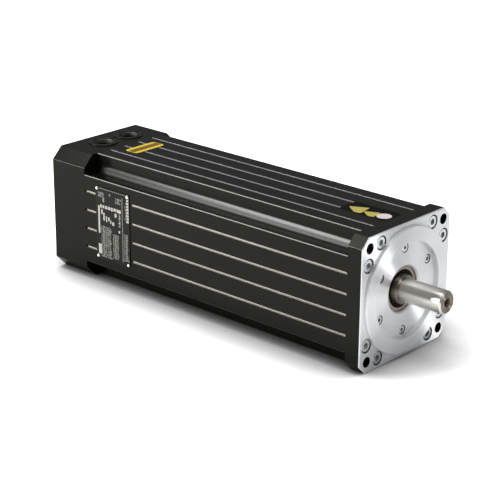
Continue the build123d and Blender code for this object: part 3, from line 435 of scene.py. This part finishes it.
def nickel_magnet():
    """Nickel plated sintered magnet."""
    return finish("nickel plated magnet", linear("#BDB9AE"), 0.22, 2.0, tone=0.06, Metallic=1.0)


def glass_fibre_band():
    """Glass fibre band wound round the magnets: amber, with the turns as fine lines."""
    return finish(
        "wound glass fibre band", linear("#9C8A4E"), 0.35, 0.9, stretch=(1, 30, 30), tone=0.2,
        relief=0.02,
    )


def circuit_board():
    """Green lacquered glass epoxy board."""
    return finish("green lacquered board", linear("#1F6B3C"), 0.3, 3.0, tone=0.15)


def encoder_glass():
    """Chrome coated glass code disc: smoky and clear."""
    return finish(
        "coated code disc glass", linear("#C9D2D2"), 0.06, 5.0, tone=0.03, gloss=0.02,
        **{"Transmission Weight": 0.85},
    )


def connector_plating():
    """Black chromated zinc alloy: nearly black, with a soft shine."""
    return finish(
        "black chromated zinc alloy", linear("#0E0E0E"), 0.3, 1.5, tone=0.12, relief=0.004,
        **{"Specular IOR Level": 0.12},
    )


def lit_wall_liner():
    """A grey metal lining in a connector's mouth, lighter than the black shell: painted light on
    the mouth's inner wall.
    """
    return finish("grey lining painted as a lit wall", linear("#5C6060"), 0.45, 1.0, tone=0.15, Metallic=0.7)


def contact_gold():
    """Gold plated contact pins."""
    return finish("gold plated brass", linear("#D9A94A"), 0.2, 2.0, tone=0.05, Metallic=1.0)


def lead_jacket():
    """Extruded silicone jacket of the inner leads: dark red brown."""
    return finish("silicone lead jacket", linear("#3A2320"), 0.5, 1.5, tone=0.1)


def plate_black():
    """Black anodised aluminium nameplate: flat and slightly brown."""
    return finish(
        "black anodised plate", linear("#0D0D0A"), 0.25, 1.2, stretch=(8, 1, 1), tone=0.15,
        **{"Specular IOR Level": 0.1},
    )


def rivet_aluminium():
    """Rolled aluminium rivets: bright."""
    return finish("bright rivet aluminium", linear("#F2F1EC"), 0.3, 1.0, tone=0.03, Metallic=1.0)


def faint_ink():
    """Screen printed grey ink: flat, with small gaps where it is worn."""
    return finish("faint print", bpy.context.scene.motor_colours.faint_ink, 0.5, 1.6, tone=0.5)


def strong_ink():
    """Screen printed white ink: flat, a little uneven."""
    return finish("strong print", bpy.context.scene.motor_colours.strong_ink, 0.5, 1.6, tone=0.3)


def label_vinyl():
    """Printed yellow vinyl: smooth, with a soft sheen."""
    colour = bpy.context.scene.motor_colours.label
    return finish("yellow vinyl", colour, 0.38, 4.0, tone=0.06, **{"Specular IOR Level": 0.25})


def band_vinyl():
    """Ochre print on the yellow vinyl."""
    colour = bpy.context.scene.motor_colours.label_band
    return finish("ochre print", colour, 0.4, 2.5, tone=0.2, **{"Specular IOR Level": 0.2})


def patch_vinyl():
    """Printed yellow vinyl of the patches, faded towards olive."""
    return finish("faded yellow vinyl", bpy.context.scene.motor_colours.patch, 0.4, 3.0, tone=0.22)


def dash_print():
    """Red brown dashes on the label."""
    return finish("red brown print", linear("#7B4A17"), 0.45, 1.0, tone=0.25)


def dark_vinyl():
    """Matt black vinyl under the patches."""
    return finish(
        "matt black vinyl", linear("#0E0E0C"), 0.7, 2.0, tone=0.1, **{"Specular IOR Level": 0.06}
    )


def pale_vinyl():
    """Pale vinyl disc."""
    return finish("pale vinyl", bpy.context.scene.motor_colours.disc, 0.4, 4.0, tone=0.04)


def dress(nodes, *materials, pick=None):
    """Gives CAD nodes their materials. pick makes a material number of a face's centre, normal."""
    for name in nodes:
        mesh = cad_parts[name].data
        mesh.materials.clear()
        for material in materials:
            mesh.materials.append(material)
        for face in mesh.polygons:
            face.material_index = pick(face.center, face.normal) if pick else 0


def screw_places(node):
    """The middle of each screw in a node of screws that point along X, as (y, z)."""
    head = 15 * MM
    screws = []
    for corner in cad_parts[node].data.vertices:
        point = Vector((corner.co.y, corner.co.z))
        near = [points for points in screws if (points[0] - point).length < head]
        if near:
            near[0].append(point)
        else:
            screws.append([point])
    return [sum(points, Vector((0, 0))) / len(points) for points in screws]


# Meshes


def new_piece(name, shape, materials):
    """Makes a finished piece of a bmesh, rides it on the motor's body and returns it."""
    mesh = bpy.data.meshes.new(name)
    bmesh.ops.recalc_face_normals(shape, faces=shape.faces)
    shape.to_mesh(mesh)
    shape.free()
    for material in materials:
        mesh.materials.append(material)
    piece = bpy.data.objects.new(name, mesh)
    bpy.context.scene.collection.objects.link(piece)
    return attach(piece, BODY)


def add_block(shape, low, high, slot=0):
    """Adds a box between two corners to a bmesh and returns its own corners."""
    low, high = Vector(low), Vector(high)
    place = Matrix.Translation((low + high) / 2) @ Matrix.Diagonal((*(high - low), 1))
    made = bmesh.ops.create_cube(shape, size=1, matrix=place)
    for face in {face for corner in made["verts"] for face in corner.link_faces}:
        face.material_index = slot
    return made["verts"]


def add_patch(shape, outline, height, corner, layers=1):
    """Adds a patch with round corners to a bmesh: its flat outline, then layers of one height."""
    earlier = set(shape.faces)
    corners = [shape.verts.new(point) for point in outline]
    shape.faces.new(corners)
    bmesh.ops.bevel(
        shape, geom=corners, offset=corner, offset_type="OFFSET", affect="VERTICES", segments=5,
        profile=0.5, material=-1,
    )
    top = [face for face in shape.faces if face not in earlier]
    for _ in range(layers):
        raised = bmesh.ops.extrude_face_region(shape, geom=top, use_keep_orig=True)["geom"]
        moved = [item for item in raised if isinstance(item, bmesh.types.BMVert)]
        bmesh.ops.translate(shape, verts=moved, vec=(0, 0, height))
        top = [item for item in raised if isinstance(item, bmesh.types.BMFace)]


def add_ring(shape, outline, middle, axis, steps):
    """Adds a ring to a bmesh: a closed outline turned about an axis through the middle."""
    corners = [shape.verts.new(point) for point in outline]
    edges = [shape.edges.new((corners[n - 1], corners[n])) for n in range(len(corners))]
    bmesh.ops.spin(
        shape, geom=corners + edges, cent=middle, axis=axis, angle=radians(360), steps=steps,
        use_merge=True,
    )


def rectangle(x, half_x, half_y, z):
    """The corners of a level rectangle over the motor's axis."""
    return [(x + i * half_x, j * half_y, z) for i, j in ((-1, -1), (1, -1), (1, 1), (-1, 1))]


# Steps


class MOTOR_OT_paint_housings(bpy.types.Operator):
    """Paints both housings and bares the grooves and edges of the extrusion"""

    bl_idname = "motor.paint_housings"
    bl_label = "Painted housings"

    def execute(self, context):
        """Edges and grooves are what lies just under the outer faces of the extrusion."""
        rear, front = HOUSING[0].x + 0.1 * MM, HOUSING[1].x - 0.1 * MM
        outside, under_grooves = HALF_FRAME - 0.03 * MM, HALF_FRAME - 2.5 * MM
        notch, foot = 40 * MM, 45 * MM

        def pick(centre, normal):
            near, far = sorted((abs(centre.y), abs(centre.z)))
            if not rear < centre.x < front:
                return 0
            if far <= under_grooves:
                # Part of the notch fillets takes the glossier enamel: a painted sheen strip.
                sheen_strip = abs(normal.y) > 0.5 and abs(normal.z) > 0.08
                return 4 if sheen_strip and near > notch else 0
            # Outer faces keep their paint, and so do the edges along the underside: they are left
            # black as painted shade where the upper edges show bare metal.
            if far >= outside or (centre.z < 1 * MM - HALF_FRAME and abs(centre.y) > foot):
                return 0
            if near > notch:
                return 3
            # Grooves on the top take the lighter aluminium: painted light from above.
            return 2 if centre.z > under_grooves else 1

        bare = (bare_aluminium(), top_lit_aluminium(), edge_and_highlight_aluminium())
        dress(["stator_housing"], housing_paint(), *bare, notch_sheen_paint(), pick=pick)
        dress(["rear_housing"], cast_paint())
        # Adds strips that paint edge highlights on the near cut corners.
        self.paint_edge_highlights()
        return {"FINISHED"}

    def paint_edge_highlights(self):
        """Thin bare metal strips along the lower edges of the near cut corners: painted edge
        highlights.
        """
        end_gap, start, stop, rise = 0.3 * MM, 0.05 * MM, 0.33 * MM, 0.03 * MM
        lean = cos(radians(45))
        turn = Matrix(((1, 0, 0), (0, lean, lean), (0, -lean, lean))).transposed().to_4x4()
        shape = bmesh.new()
        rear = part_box("rear_housing")
        for back, front, cut in ((rear[0].x, rear[1].x, REAR_CUT), (HOUSING[1].x, 0, FLANGE_CUT)):
            strip = add_block(shape, (back + end_gap, start, 0), (front - end_gap, stop, rise))
            turn.translation = (0, -HALF_FRAME, HALF_FRAME - cut)
            bmesh.ops.transform(shape, matrix=turn, verts=strip)
        new_piece("painted_edge_highlights", shape, [edge_and_highlight_aluminium()])


class MOTOR_OT_finish_flange(bpy.types.Operator):
    """Bares the flange's turned front and paints its sides, back and mounting holes"""

    bl_idname = "motor.finish_flange"
    bl_label = "Front flange"

    def execute(self, context):
        """Bare where the lathe cut it, painted elsewhere, with the screws' counterbores darkened as
        painted shade.
        """
        hole_circle, hole_radius, slack = 165 * MM, 5.5 * MM, 0.2 * MM
        pilot_inside, pilot_outside = 60 * MM, 66 * MM
        hole = hole_circle / 2 * cos(radians(45))
        bores = (("flange_screws", 7.5 * MM), ("bearing_cap_screws", 4.9 * MM))
        seats = [(place, bore) for node, bore in bores for place in screw_places(node)]

        def pick(centre, normal):
            place = Vector((centre.y, centre.z))
            y, z = abs(centre.y), abs(centre.z)
            wall = abs(normal.x) < 0.3
            outer = max(y, z, y + z - HALF_FRAME + FLANGE_CUT) > HALF_FRAME - slack
            in_hole = Vector((y - hole, z - hole)).length < hole_radius + slack
            behind = normal.x < -0.9 and abs(centre.x - HOUSING[1].x) < slack
            if (wall and (outer or in_hole)) or behind:
                return 1
            # Counterbore walls take the dark bore aluminium: painted shade.
            sunk = wall and centre.x < 0 and not pilot_inside < place.length < pilot_outside
            if sunk and any(abs((place - seat).length - bore) < slack for seat, bore in seats):
                return 3
            return 2 if abs(normal.x) < 0.8 else 0

        finishes = (flange_face(), housing_paint(), turned_walls(), shaded_bore_aluminium())
        dress(["front_flange"], *finishes, pick=pick)
        return {"FINISHED"}


class MOTOR_OT_finish_fasteners(bpy.types.Operator):
    """Plates every screw"""

    bl_idname = "motor.finish_fasteners"
    bl_label = "Screws"

    def execute(self, context):
        """One plating on all of them."""
        screws = ["flange_screws", "bearing_cap_screws", "rear_housing_screws", "encoder_screws"]
        dress(screws, zinc_plating())
        dress(["connector_screws"], connector_plating())
        return {"FINISHED"}


class MOTOR_OT_finish_shaft(bpy.types.Operator):
    """Finishes the shaft and what seals it"""

    bl_idname = "motor.finish_shaft"
    bl_label = "Shaft and seals"

    def execute(self, context):
        """Steel shaft, rubber rings. The centre hole is darkened as painted shade, and the shoulder
        takes the darker turned steel, partly as painted shade.
        """
        centre_hole, journal = 4.65 * MM, 13 * MM

        def pick(centre, normal):
            radius = Vector((centre.y, centre.z)).length
            # The centre hole gets the dark steel: painted shade.
            if radius < centre_hole and normal.x < 0.95:
                return 2
            # The shoulder, sunk in the seal's bore, gets the darker turned steel: partly painted
            # shade.
            shoulder = centre.x < 0.1 * MM and radius > journal
            return 1 if normal.x > 0.95 or shoulder else 0

        dress(["shaft"], ground_steel(), turned_steel(), shaded_hole_steel(), pick=pick)
        dress(["shaft_seal", "front_oring", "rear_oring", "connector_gaskets"], nitrile_rubber())
        dress(["seal_spring", "wave_spring", "front_retaining_ring"], spring_steel())
        self.cover_seal()
        return {"FINISHED"}

    def cover_seal(self):
        """The seal's pressed cover, turned about the shaft: a flat ring with a rolled inner rim."""
        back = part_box("shaft_seal")[1].x
        outer, inner, rim = 23.4 * MM, 19.8 * MM, 0.9 * MM
        front, rim_front = back + 0.4 * MM, back + 0.5 * MM
        outline = [
            (back, 0, outer), (front, 0, outer), (front, 0, inner + rim),
            (rim_front, 0, inner + 0.6 * MM), (rim_front, 0, inner + 0.2 * MM),
            (front, 0, inner), (back, 0, inner),
        ]
        shape = bmesh.new()
        add_ring(shape, outline, (0, 0, 0), (1, 0, 0), 96)
        # The rim takes the brighter steel: painted highlight.
        for face in shape.faces:
            centre = face.calc_center_median()
            if Vector((centre.y, centre.z)).length < inner + rim + 0.05 * MM:
                face.material_index = 1
        new_piece("seal_cover", shape, [seal_cover_steel(), seal_rim_highlight_steel()])


class MOTOR_OT_finish_bearings(bpy.types.Operator):
    """Finishes both bearings, their seats and the lock nut"""

    bl_idname = "motor.finish_bearings"
    bl_label = "Bearings"

    def execute(self, context):
        """Polished rings and balls, pressed cages, cast seats."""
        for end in ("front", "rear"):
            rings = ("outer_ring", "inner_ring", "balls")
            dress([f"{end}_bearing_{part}" for part in rings], bearing_steel())
            dress([f"{end}_bearing_cage"], pressed_steel())
        dress(["front_bearing_cap", "rear_bearing_bracket", "encoder_base"], cast_aluminium())
        dress(["rear_lock_nut"], pressed_steel())
        return {"FINISHED"}


class MOTOR_OT_finish_windings(bpy.types.Operator):
    """Finishes stator and rotor"""

    bl_idname = "motor.finish_windings"
    bl_label = "Stator and rotor"

    def execute(self, context):
        """Everything inside the bore."""
        dress(["stator_core", "rotor_core"], laminations())
        dress(["stator_coils"], enamelled_copper())
        dress(["front_coil_insulator", "rear_coil_insulator"], white_polyester())
        dress(["phase_terminal_ring"], circuit_board())
        dress(["winding_thermistor"], black_polyamide())
        dress(["phase_leads"], lead_jacket())
        dress(["rotor_magnets"], nickel_magnet())
        dress(["rotor_sleeve"], glass_fibre_band())
        dress(["front_balance_disc", "rear_balance_disc"], cast_aluminium())
        return {"FINISHED"}


class MOTOR_OT_finish_encoder(bpy.types.Operator):
    """Finishes the encoder in the rear housing"""

    bl_idname = "motor.finish_encoder"
    bl_label = "Encoder"

    def execute(self, context):
        """Hub, disc, board, reading head, cover and cable."""
        dress(["encoder_hub"], pressed_steel())
        dress(["encoder_disc"], encoder_glass())
        dress(["encoder_board"], circuit_board())
        dress(["encoder_reader", "encoder_cover"], black_polyamide())
        dress(["encoder_cable"], lead_jacket())
        return {"FINISHED"}


class MOTOR_OT_finish_connectors(bpy.types.Operator):
    """Finishes the two connectors on top of the rear housing"""

    bl_idname = "motor.finish_connectors"
    bl_label = "Connectors"

    def execute(self, context):
        """Dark shells, black inserts, gold pins."""
        dress(["power_connector_shell", "signal_connector_shell"], connector_plating())
        dress(["power_connector_insert", "signal_connector_insert"], black_polyamide())
        dress(["power_contacts", "signal_contacts"], contact_gold())
        for side in ("power", "signal"):
            self.line_mouth(side)
        return {"FINISHED"}

    def line_mouth(self, side):
        """A thin grey lining just inside a connector's mouth, painting its inner wall as lit."""
        low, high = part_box(f"{side}_connector_shell")
        middle = (low + high) / 2
        outer, wall, depth, top = 10.95 * MM, 0.3 * MM, 4 * MM, high.z - 0.6 * MM
        inner, bottom = outer - wall, top - depth
        outline = ((outer, top), (inner, top - wall), (inner, bottom), (outer, bottom))
        points = [(middle.x + radius, middle.y, z) for radius, z in outline]
        shape = bmesh.new()
        add_ring(shape, points, middle, (0, 0, 1), 64)
        new_piece(f"{side}_lit_mouth_lining", shape, [lit_wall_liner()])


class MOTOR_OT_print_nameplate(bpy.types.Operator):
    """Finishes the nameplate and prints plain lines, cells and bars on it, without lettering"""

    bl_idname = "motor.print_nameplate"
    bl_label = "Nameplate"

    def execute(self, context):
        """Bars are given by left, right, bottom and top, in millimetres from the plate's middle."""
        dress(["nameplate"], plate_black())
        dress(["nameplate_rivets"], rivet_aluminium())
        low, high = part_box("nameplate")
        middle, front = (low + high) / 2, low.y
        ink = context.scene.motor_sizes.ink
        shape = bmesh.new()

        def bar(left, right, bottom, top, slot=0):
            add_block(
                shape,
                (middle.x + left * MM, front - ink, middle.z + bottom * MM),
                (middle.x + right * MM, front, middle.z + top * MM),
                slot,
            )

        def column(left, right, bottom, top, pitch=2.6):
            """Rows of plain dashes of uneven length, ragged at the right."""
            shortest, longer, gap, wider, height = 1.2, 0.7, 0.7, 0.3, 0.72 * pitch
            for row in range(int((top - bottom) / pitch)):
                base, place = bottom + row * pitch, left + row * 3 % 4 * wider
                for step in range(8):
                    length = shortest + (row * 5 + step * 3) % 5 * longer
                    if place + length > right:
                        break
                    bar(place, place + length, base, base + height)
                    place += length + gap + (row + step) % 3 * wider

        # Frame lines
        bar(-21, 20, 39.3, 39.9)
        bar(-22.4, -19.8, -12.0, 19.4, 1)
        bar(14.8, 15.8, -37, 35.4)
        # Row of blocks along the frame's top, and the dotted line down its right side
        for left, right in (
            (-19, -16), (-15, -12.4), (-11, -8), (-6.8, -3), (-2, 0.6), (1.8, 6), (7, 13),
        ):
            bar(left, right, 17.2 + left % 2 * 0.5, 21.2, 1)
        for n in range(8):
            bar(9.4 + n % 2 * 0.8, 12.2, 1.4 + n * 2.0, 2.8 + n * 2.0, n % 3 // 2)
        bar(9.0, 11.4, -5.2, -2.6, 1)
        # Blocks in the top cell and inside the frame
        column(-22.6, -12.4, 29.8, 36.0, 2.0)
        bar(-15.0, -12.6, 24.4, 30.0)
        bar(-4.8, -2.8, 33.6, 36.0)
        column(4.6, 14.0, 27.4, 34.4, 2.2)
        for place in (
            (-17.4, -15.4, 10.4, 16.0), (-14.4, -12.4, 4.0, 12.6), (-10.4, -8.6, 3.0, 9.4),
            (-6.8, -4.4, 5.0, 9.0), (-3.6, -2.0, 2.4, 6.2), (-0.6, 2.4, 1.2, 5.0),
            (3.4, 6.4, 11.6, 15.8),
        ):
            bar(*place, 1)
        # Strip along the right edge
        for n in range(9):
            bar(21.4 + n % 2 * 0.5, 25.2, 9.4 + n * 3.4, 12.0 + n * 3.4, 1)
        column(19.4, 22.2, 12.0, 30.0, 3.4)
        # Columns below
        column(-18.4, -1.6, -38.4, 0.2)
        column(-9.0, -2.2, -37.6, -1.0, 3.2)
        column(-0.2, 12.8, -36.4, -7.2)
        column(17.0, 25.2, -35.0, -2.0)
        bar(-22.8, -17.8, -35.6, -24.4, 1)
        piece = new_piece("nameplate_print", shape, [faint_ink(), strong_ink()])
        return {"FINISHED"}


class MOTOR_OT_stick_label(bpy.types.Operator):
    """Sticks the plain yellow label on top, near the rear housing"""

    bl_idname = "motor.stick_label"
    bl_label = "Yellow label"

    def execute(self, context):
        """A yellow sticker with a darker band and a row of plain dashes."""
        sizes = context.scene.motor_sizes
        x, half_x, half_y = -sizes.label_x, sizes.label_width / 2, sizes.label_length / 2
        shape = bmesh.new()
        add_patch(shape, rectangle(x, half_x, half_y, HALF_FRAME), sizes.film, sizes.label_corner)
        level = HALF_FRAME + sizes.film
        band, reach = 0.5 * half_x, 0.97 * half_y
        add_block(shape, (x - band, -reach, level), (x + band, reach, level + sizes.ink), 1)
        level += sizes.ink
        dashes, span, half_dash = 9, 0.85 * sizes.label_length, Vector((0.9, 1.2, 0)) * MM
        for n in range(dashes):
            shift = (n * 3 % 4 - 1.5) * 0.6 * MM
            middle = Vector((x + shift, (n - (dashes - 1) / 2) * span / dashes, level))
            top = middle + Vector((0, 0, sizes.ink))
            add_block(shape, middle - half_dash, top + half_dash, 2)
        new_piece("yellow_label", shape, [label_vinyl(), band_vinyl(), dash_print()])
        return {"FINISHED"}


class MOTOR_OT_stick_patches(bpy.types.Operator):
    """Sticks the dark sticker with two plain yellow patches and a pale disc near the flange"""

    bl_idname = "motor.stick_patches"
    bl_label = "Front stickers"

    def execute(self, context):
        """Plain patches of colour, without any sign on them, placed from the mounting face."""
        sizes = context.scene.motor_sizes
        film = sizes.film
        shape = bmesh.new()
        outline = rectangle(-sizes.base_x, sizes.base_length / 2, sizes.base_width / 2, HALF_FRAME)
        add_patch(shape, outline, film, sizes.base_corner)
        new_piece("dark_sticker", shape, [dark_vinyl()])
        level, half_film = HALF_FRAME + film, 0.5 * film
        corners = ((-11.3, 1.8), (0.2, -6.2), (6.7, -5.2), (4.2, 9.8))
        shape = bmesh.new()
        # The rear patch is a stack of thin layers, the front one two flat faces without thickness
        for x, y, layers in ((-57.2, -4.8, 4), (-39.8, -6.6, 0)):
            for spread, z, raised in ((1.2, level, layers), (1.0, level + half_film, 0)):
                outline = [((x + spread * a) * MM, (y + spread * b) * MM, z) for a, b in corners]
                add_patch(shape, outline, half_film, sizes.patch_corner, raised)
        new_piece("yellow_patches", shape, [patch_vinyl()])
        shape = bmesh.new()
        bmesh.ops.create_cone(
            shape,
            cap_ends=True,
            segments=48,
            radius1=sizes.disc_radius,
            radius2=sizes.disc_radius,
            depth=film,
            matrix=Matrix.Translation((-sizes.disc_x, -sizes.disc_y, level + 1.5 * film)),
        )
        new_piece("pale_disc", shape, [pale_vinyl()])
        return {"FINISHED"}


class MOTOR_OT_set_stage(bpy.types.Operator):
    """Sets up the floor, the soft light and the camera"""

    bl_idname = "motor.set_stage"
    bl_label = "Studio"

    def execute(self, context):
        """The floor lies under the motor's lowest face, and the camera stands as in the photo."""
        scene, studio = context.scene, context.scene.motor_studio
        ground = cad_box[0].z - 0.1 * MM
        to_horizon = 30
        shape = bmesh.new()
        bmesh.ops.create_circle(
            shape, cap_ends=True, segments=96, radius=to_horizon,
            matrix=Matrix.Translation((0, 0, ground)),
        )
        mesh = bpy.data.meshes.new("floor")
        shape.to_mesh(mesh)
        shape.free()
        mesh.materials.append(self.floor_material(studio))
        floor = bpy.data.objects.new("floor", mesh)
        scene.collection.objects.link(floor)

        world = bpy.data.worlds.new("studio")
        world.use_nodes = True
        world.node_tree.nodes["Background"].inputs["Color"].default_value = (1, 1, 1, 1)
        world.node_tree.nodes["Background"].inputs["Strength"].default_value = studio.sky
        scene.world = world

        self.softbox((-0.98, -1.37, 0.41), (-0.80, 0.60, 0), (0.55, 1.05), studio.left)
        self.softbox((-0.95, -0.44, 1.17), (0, 0.94, 0.33), (1.5, 0.6), studio.above)
        self.softbox((1.53, 0.32, 0.32), (-0.2, 0.95, 0), (0.3, 0.4), studio.right)
        self.softbox((0.40, -0.16, 1.54), (1, 0, 0), (1.2, 0.6), studio.top)
        self.camera(scene)
        scene.view_settings.view_transform = "Standard"
        return {"FINISHED"}

    def floor_material(self, studio):
        """Matt white paper. The eye sees it lifted to white, darker only close round the motor."""
        material = bpy.data.materials.new("matt white floor paper")
        material.use_nodes = True
        tree = material.node_tree
        tree.nodes.remove(tree.nodes["Principled BSDF"])
        rays = add_node(tree, "ShaderNodeLightPath").outputs

        def reckon(first, second, **settings):
            """Adds a Math node for two sockets and returns what it gives."""
            return add_node(tree, "ShaderNodeMath", settings, {0: first, 1: second}).outputs[0]

        seen = reckon(rays["Is Camera Ray"], rays["Is Glossy Ray"])
        seen = reckon(seen, rays["Is Transmission Ray"], use_clamp=True)
        near = add_node(
            tree, "ShaderNodeAmbientOcclusion", {"samples": 16, "Distance": studio.reach}
        )
        fade = {"operation": "POWER", 1: studio.fall}
        depth = add_node(tree, "ShaderNodeMath", fade, {0: near.outputs["AO"]}).outputs[0]
        share = add_node(
            tree, "ShaderNodeMapRange",
            {"From Max": 1.0, "To Min": studio.shine_lift, "To Max": studio.lift},
            {"Value": rays["Is Camera Ray"]},
        )
        lift = reckon(depth, share.outputs[0], operation="MULTIPLY")
        lift = reckon(lift, seen, operation="MULTIPLY")
        shade = add_node(tree, "ShaderNodeMix", {"data_type": "RGBA"}, {0: seen, 7: depth})
        shade.inputs[6].default_value = (1, 1, 1, 1)
        paper = add_node(tree, "ShaderNodeMix", {"data_type": "RGBA", "blend_type": "MULTIPLY"})
        paper.inputs[0].default_value = 1.0
        paper.inputs[6].default_value = (*studio.floor, 1)
        tree.links.new(shade.outputs[2], paper.inputs[7])
        matt = add_node(tree, "ShaderNodeBsdfDiffuse", links={"Color": paper.outputs[2]})
        glow = add_node(tree, "ShaderNodeEmission", links={"Strength": lift})
        both = add_node(tree, "ShaderNodeAddShader", links={0: matt.outputs[0], 1: glow.outputs[0]})
        tree.links.new(both.outputs[0], tree.nodes["Material Output"].inputs["Surface"])
        return material

    def softbox(self, place, along, size, power):
        """A rectangular lamp that looks at the motor. place is seen from the motor's middle, and
        along is roughly the way its first side runs."""
        data = bpy.data.lights.new("softbox", "AREA")
        data.shape, data.size, data.size_y = "RECTANGLE", *size
        data.energy = power
        lamp = bpy.data.objects.new("softbox", data)
        lamp.visible_camera = False
        bpy.context.scene.collection.objects.link(lamp)
        away = Vector(place).normalized()
        along = Vector(along)
        across = (along - along.dot(away) * away).normalized()
        turn = Matrix((across, away.cross(across), away)).transposed()
        middle = (cad_box[0] + cad_box[1]) / 2
        lamp.matrix_world = Matrix.Translation(middle + Vector(place)) @ turn.to_4x4()

    def camera(self, scene):
        """The photo's camera, found by fitting the motor's edges."""
        turn, rise, roll = radians(42.053), radians(20.395), radians(0.344)
        back = Vector((sin(turn) * cos(rise), -cos(turn) * cos(rise), sin(rise)))
        level = Vector((cos(turn), sin(turn), 0))
        up = back.cross(level)
        right = level * cos(roll) + up * sin(roll)
        up = up * cos(roll) - level * sin(roll)
        data = bpy.data.cameras.new("photo camera")
        data.sensor_width, data.lens = 36, 116.18
        eye = bpy.data.objects.new("photo camera", data)
        scene.collection.objects.link(eye)
        aim = Vector((-187.32, 0, 0)) * MM
        distance, leftwards, downwards = 1691.8 * MM, 12.70 * MM, 5.85 * MM
        place = aim + back * distance - right * leftwards - up * downwards
        turned = Matrix((right, up, back)).transposed().to_4x4()
        eye.matrix_world = Matrix.Translation(place) @ turned
        scene.camera = eye


STEPS = (
    MOTOR_OT_paint_housings,
    MOTOR_OT_finish_flange,
    MOTOR_OT_finish_fasteners,
    MOTOR_OT_finish_shaft,
    MOTOR_OT_finish_bearings,
    MOTOR_OT_finish_windings,
    MOTOR_OT_finish_encoder,
    MOTOR_OT_finish_connectors,
    MOTOR_OT_print_nameplate,
    MOTOR_OT_stick_label,
    MOTOR_OT_stick_patches,
    MOTOR_OT_set_stage,
)
GROUPS = {
    "motor_colours": MotorColours,
    "motor_sizes": MotorSizes,
    "motor_studio": MotorStudio,
}


class MOTOR_PT_sidebar(bpy.types.Panel):
    """Lists the motor's steps and what can be changed"""

    bl_idname = "MOTOR_PT_sidebar"
    bl_label = "Servo motor"
    bl_space_type = "VIEW_3D"
    bl_region_type = "UI"
    bl_category = "Servo motor"

    def draw(self, context):
        """One button for each step, then the settings."""
        for step in STEPS:
            self.layout.operator(step.bl_idname)
        for group in GROUPS:
            box = self.layout.box()
            settings = getattr(context.scene, group)
            for name in settings.__annotations__:
                box.prop(settings, name)


def register():
    """Registers the classes and hangs the settings on the scene."""
    for kind in (*GROUPS.values(), *STEPS, MOTOR_PT_sidebar):
        bpy.utils.register_class(kind)
    for name, kind in GROUPS.items():
        setattr(bpy.types.Scene, name, bpy.props.PointerProperty(type=kind))


def unregister():
    """Undoes register."""
    for name in GROUPS:
        delattr(bpy.types.Scene, name)
    for kind in (MOTOR_PT_sidebar, *reversed(STEPS), *reversed(GROUPS.values())):
        bpy.utils.unregister_class(kind)


def main():
    """Runs every step."""
    register()
    for step in STEPS:
        group, name = step.bl_idname.split(".")
        getattr(getattr(bpy.ops, group), name)()


if __name__ == "__main__":
    main()
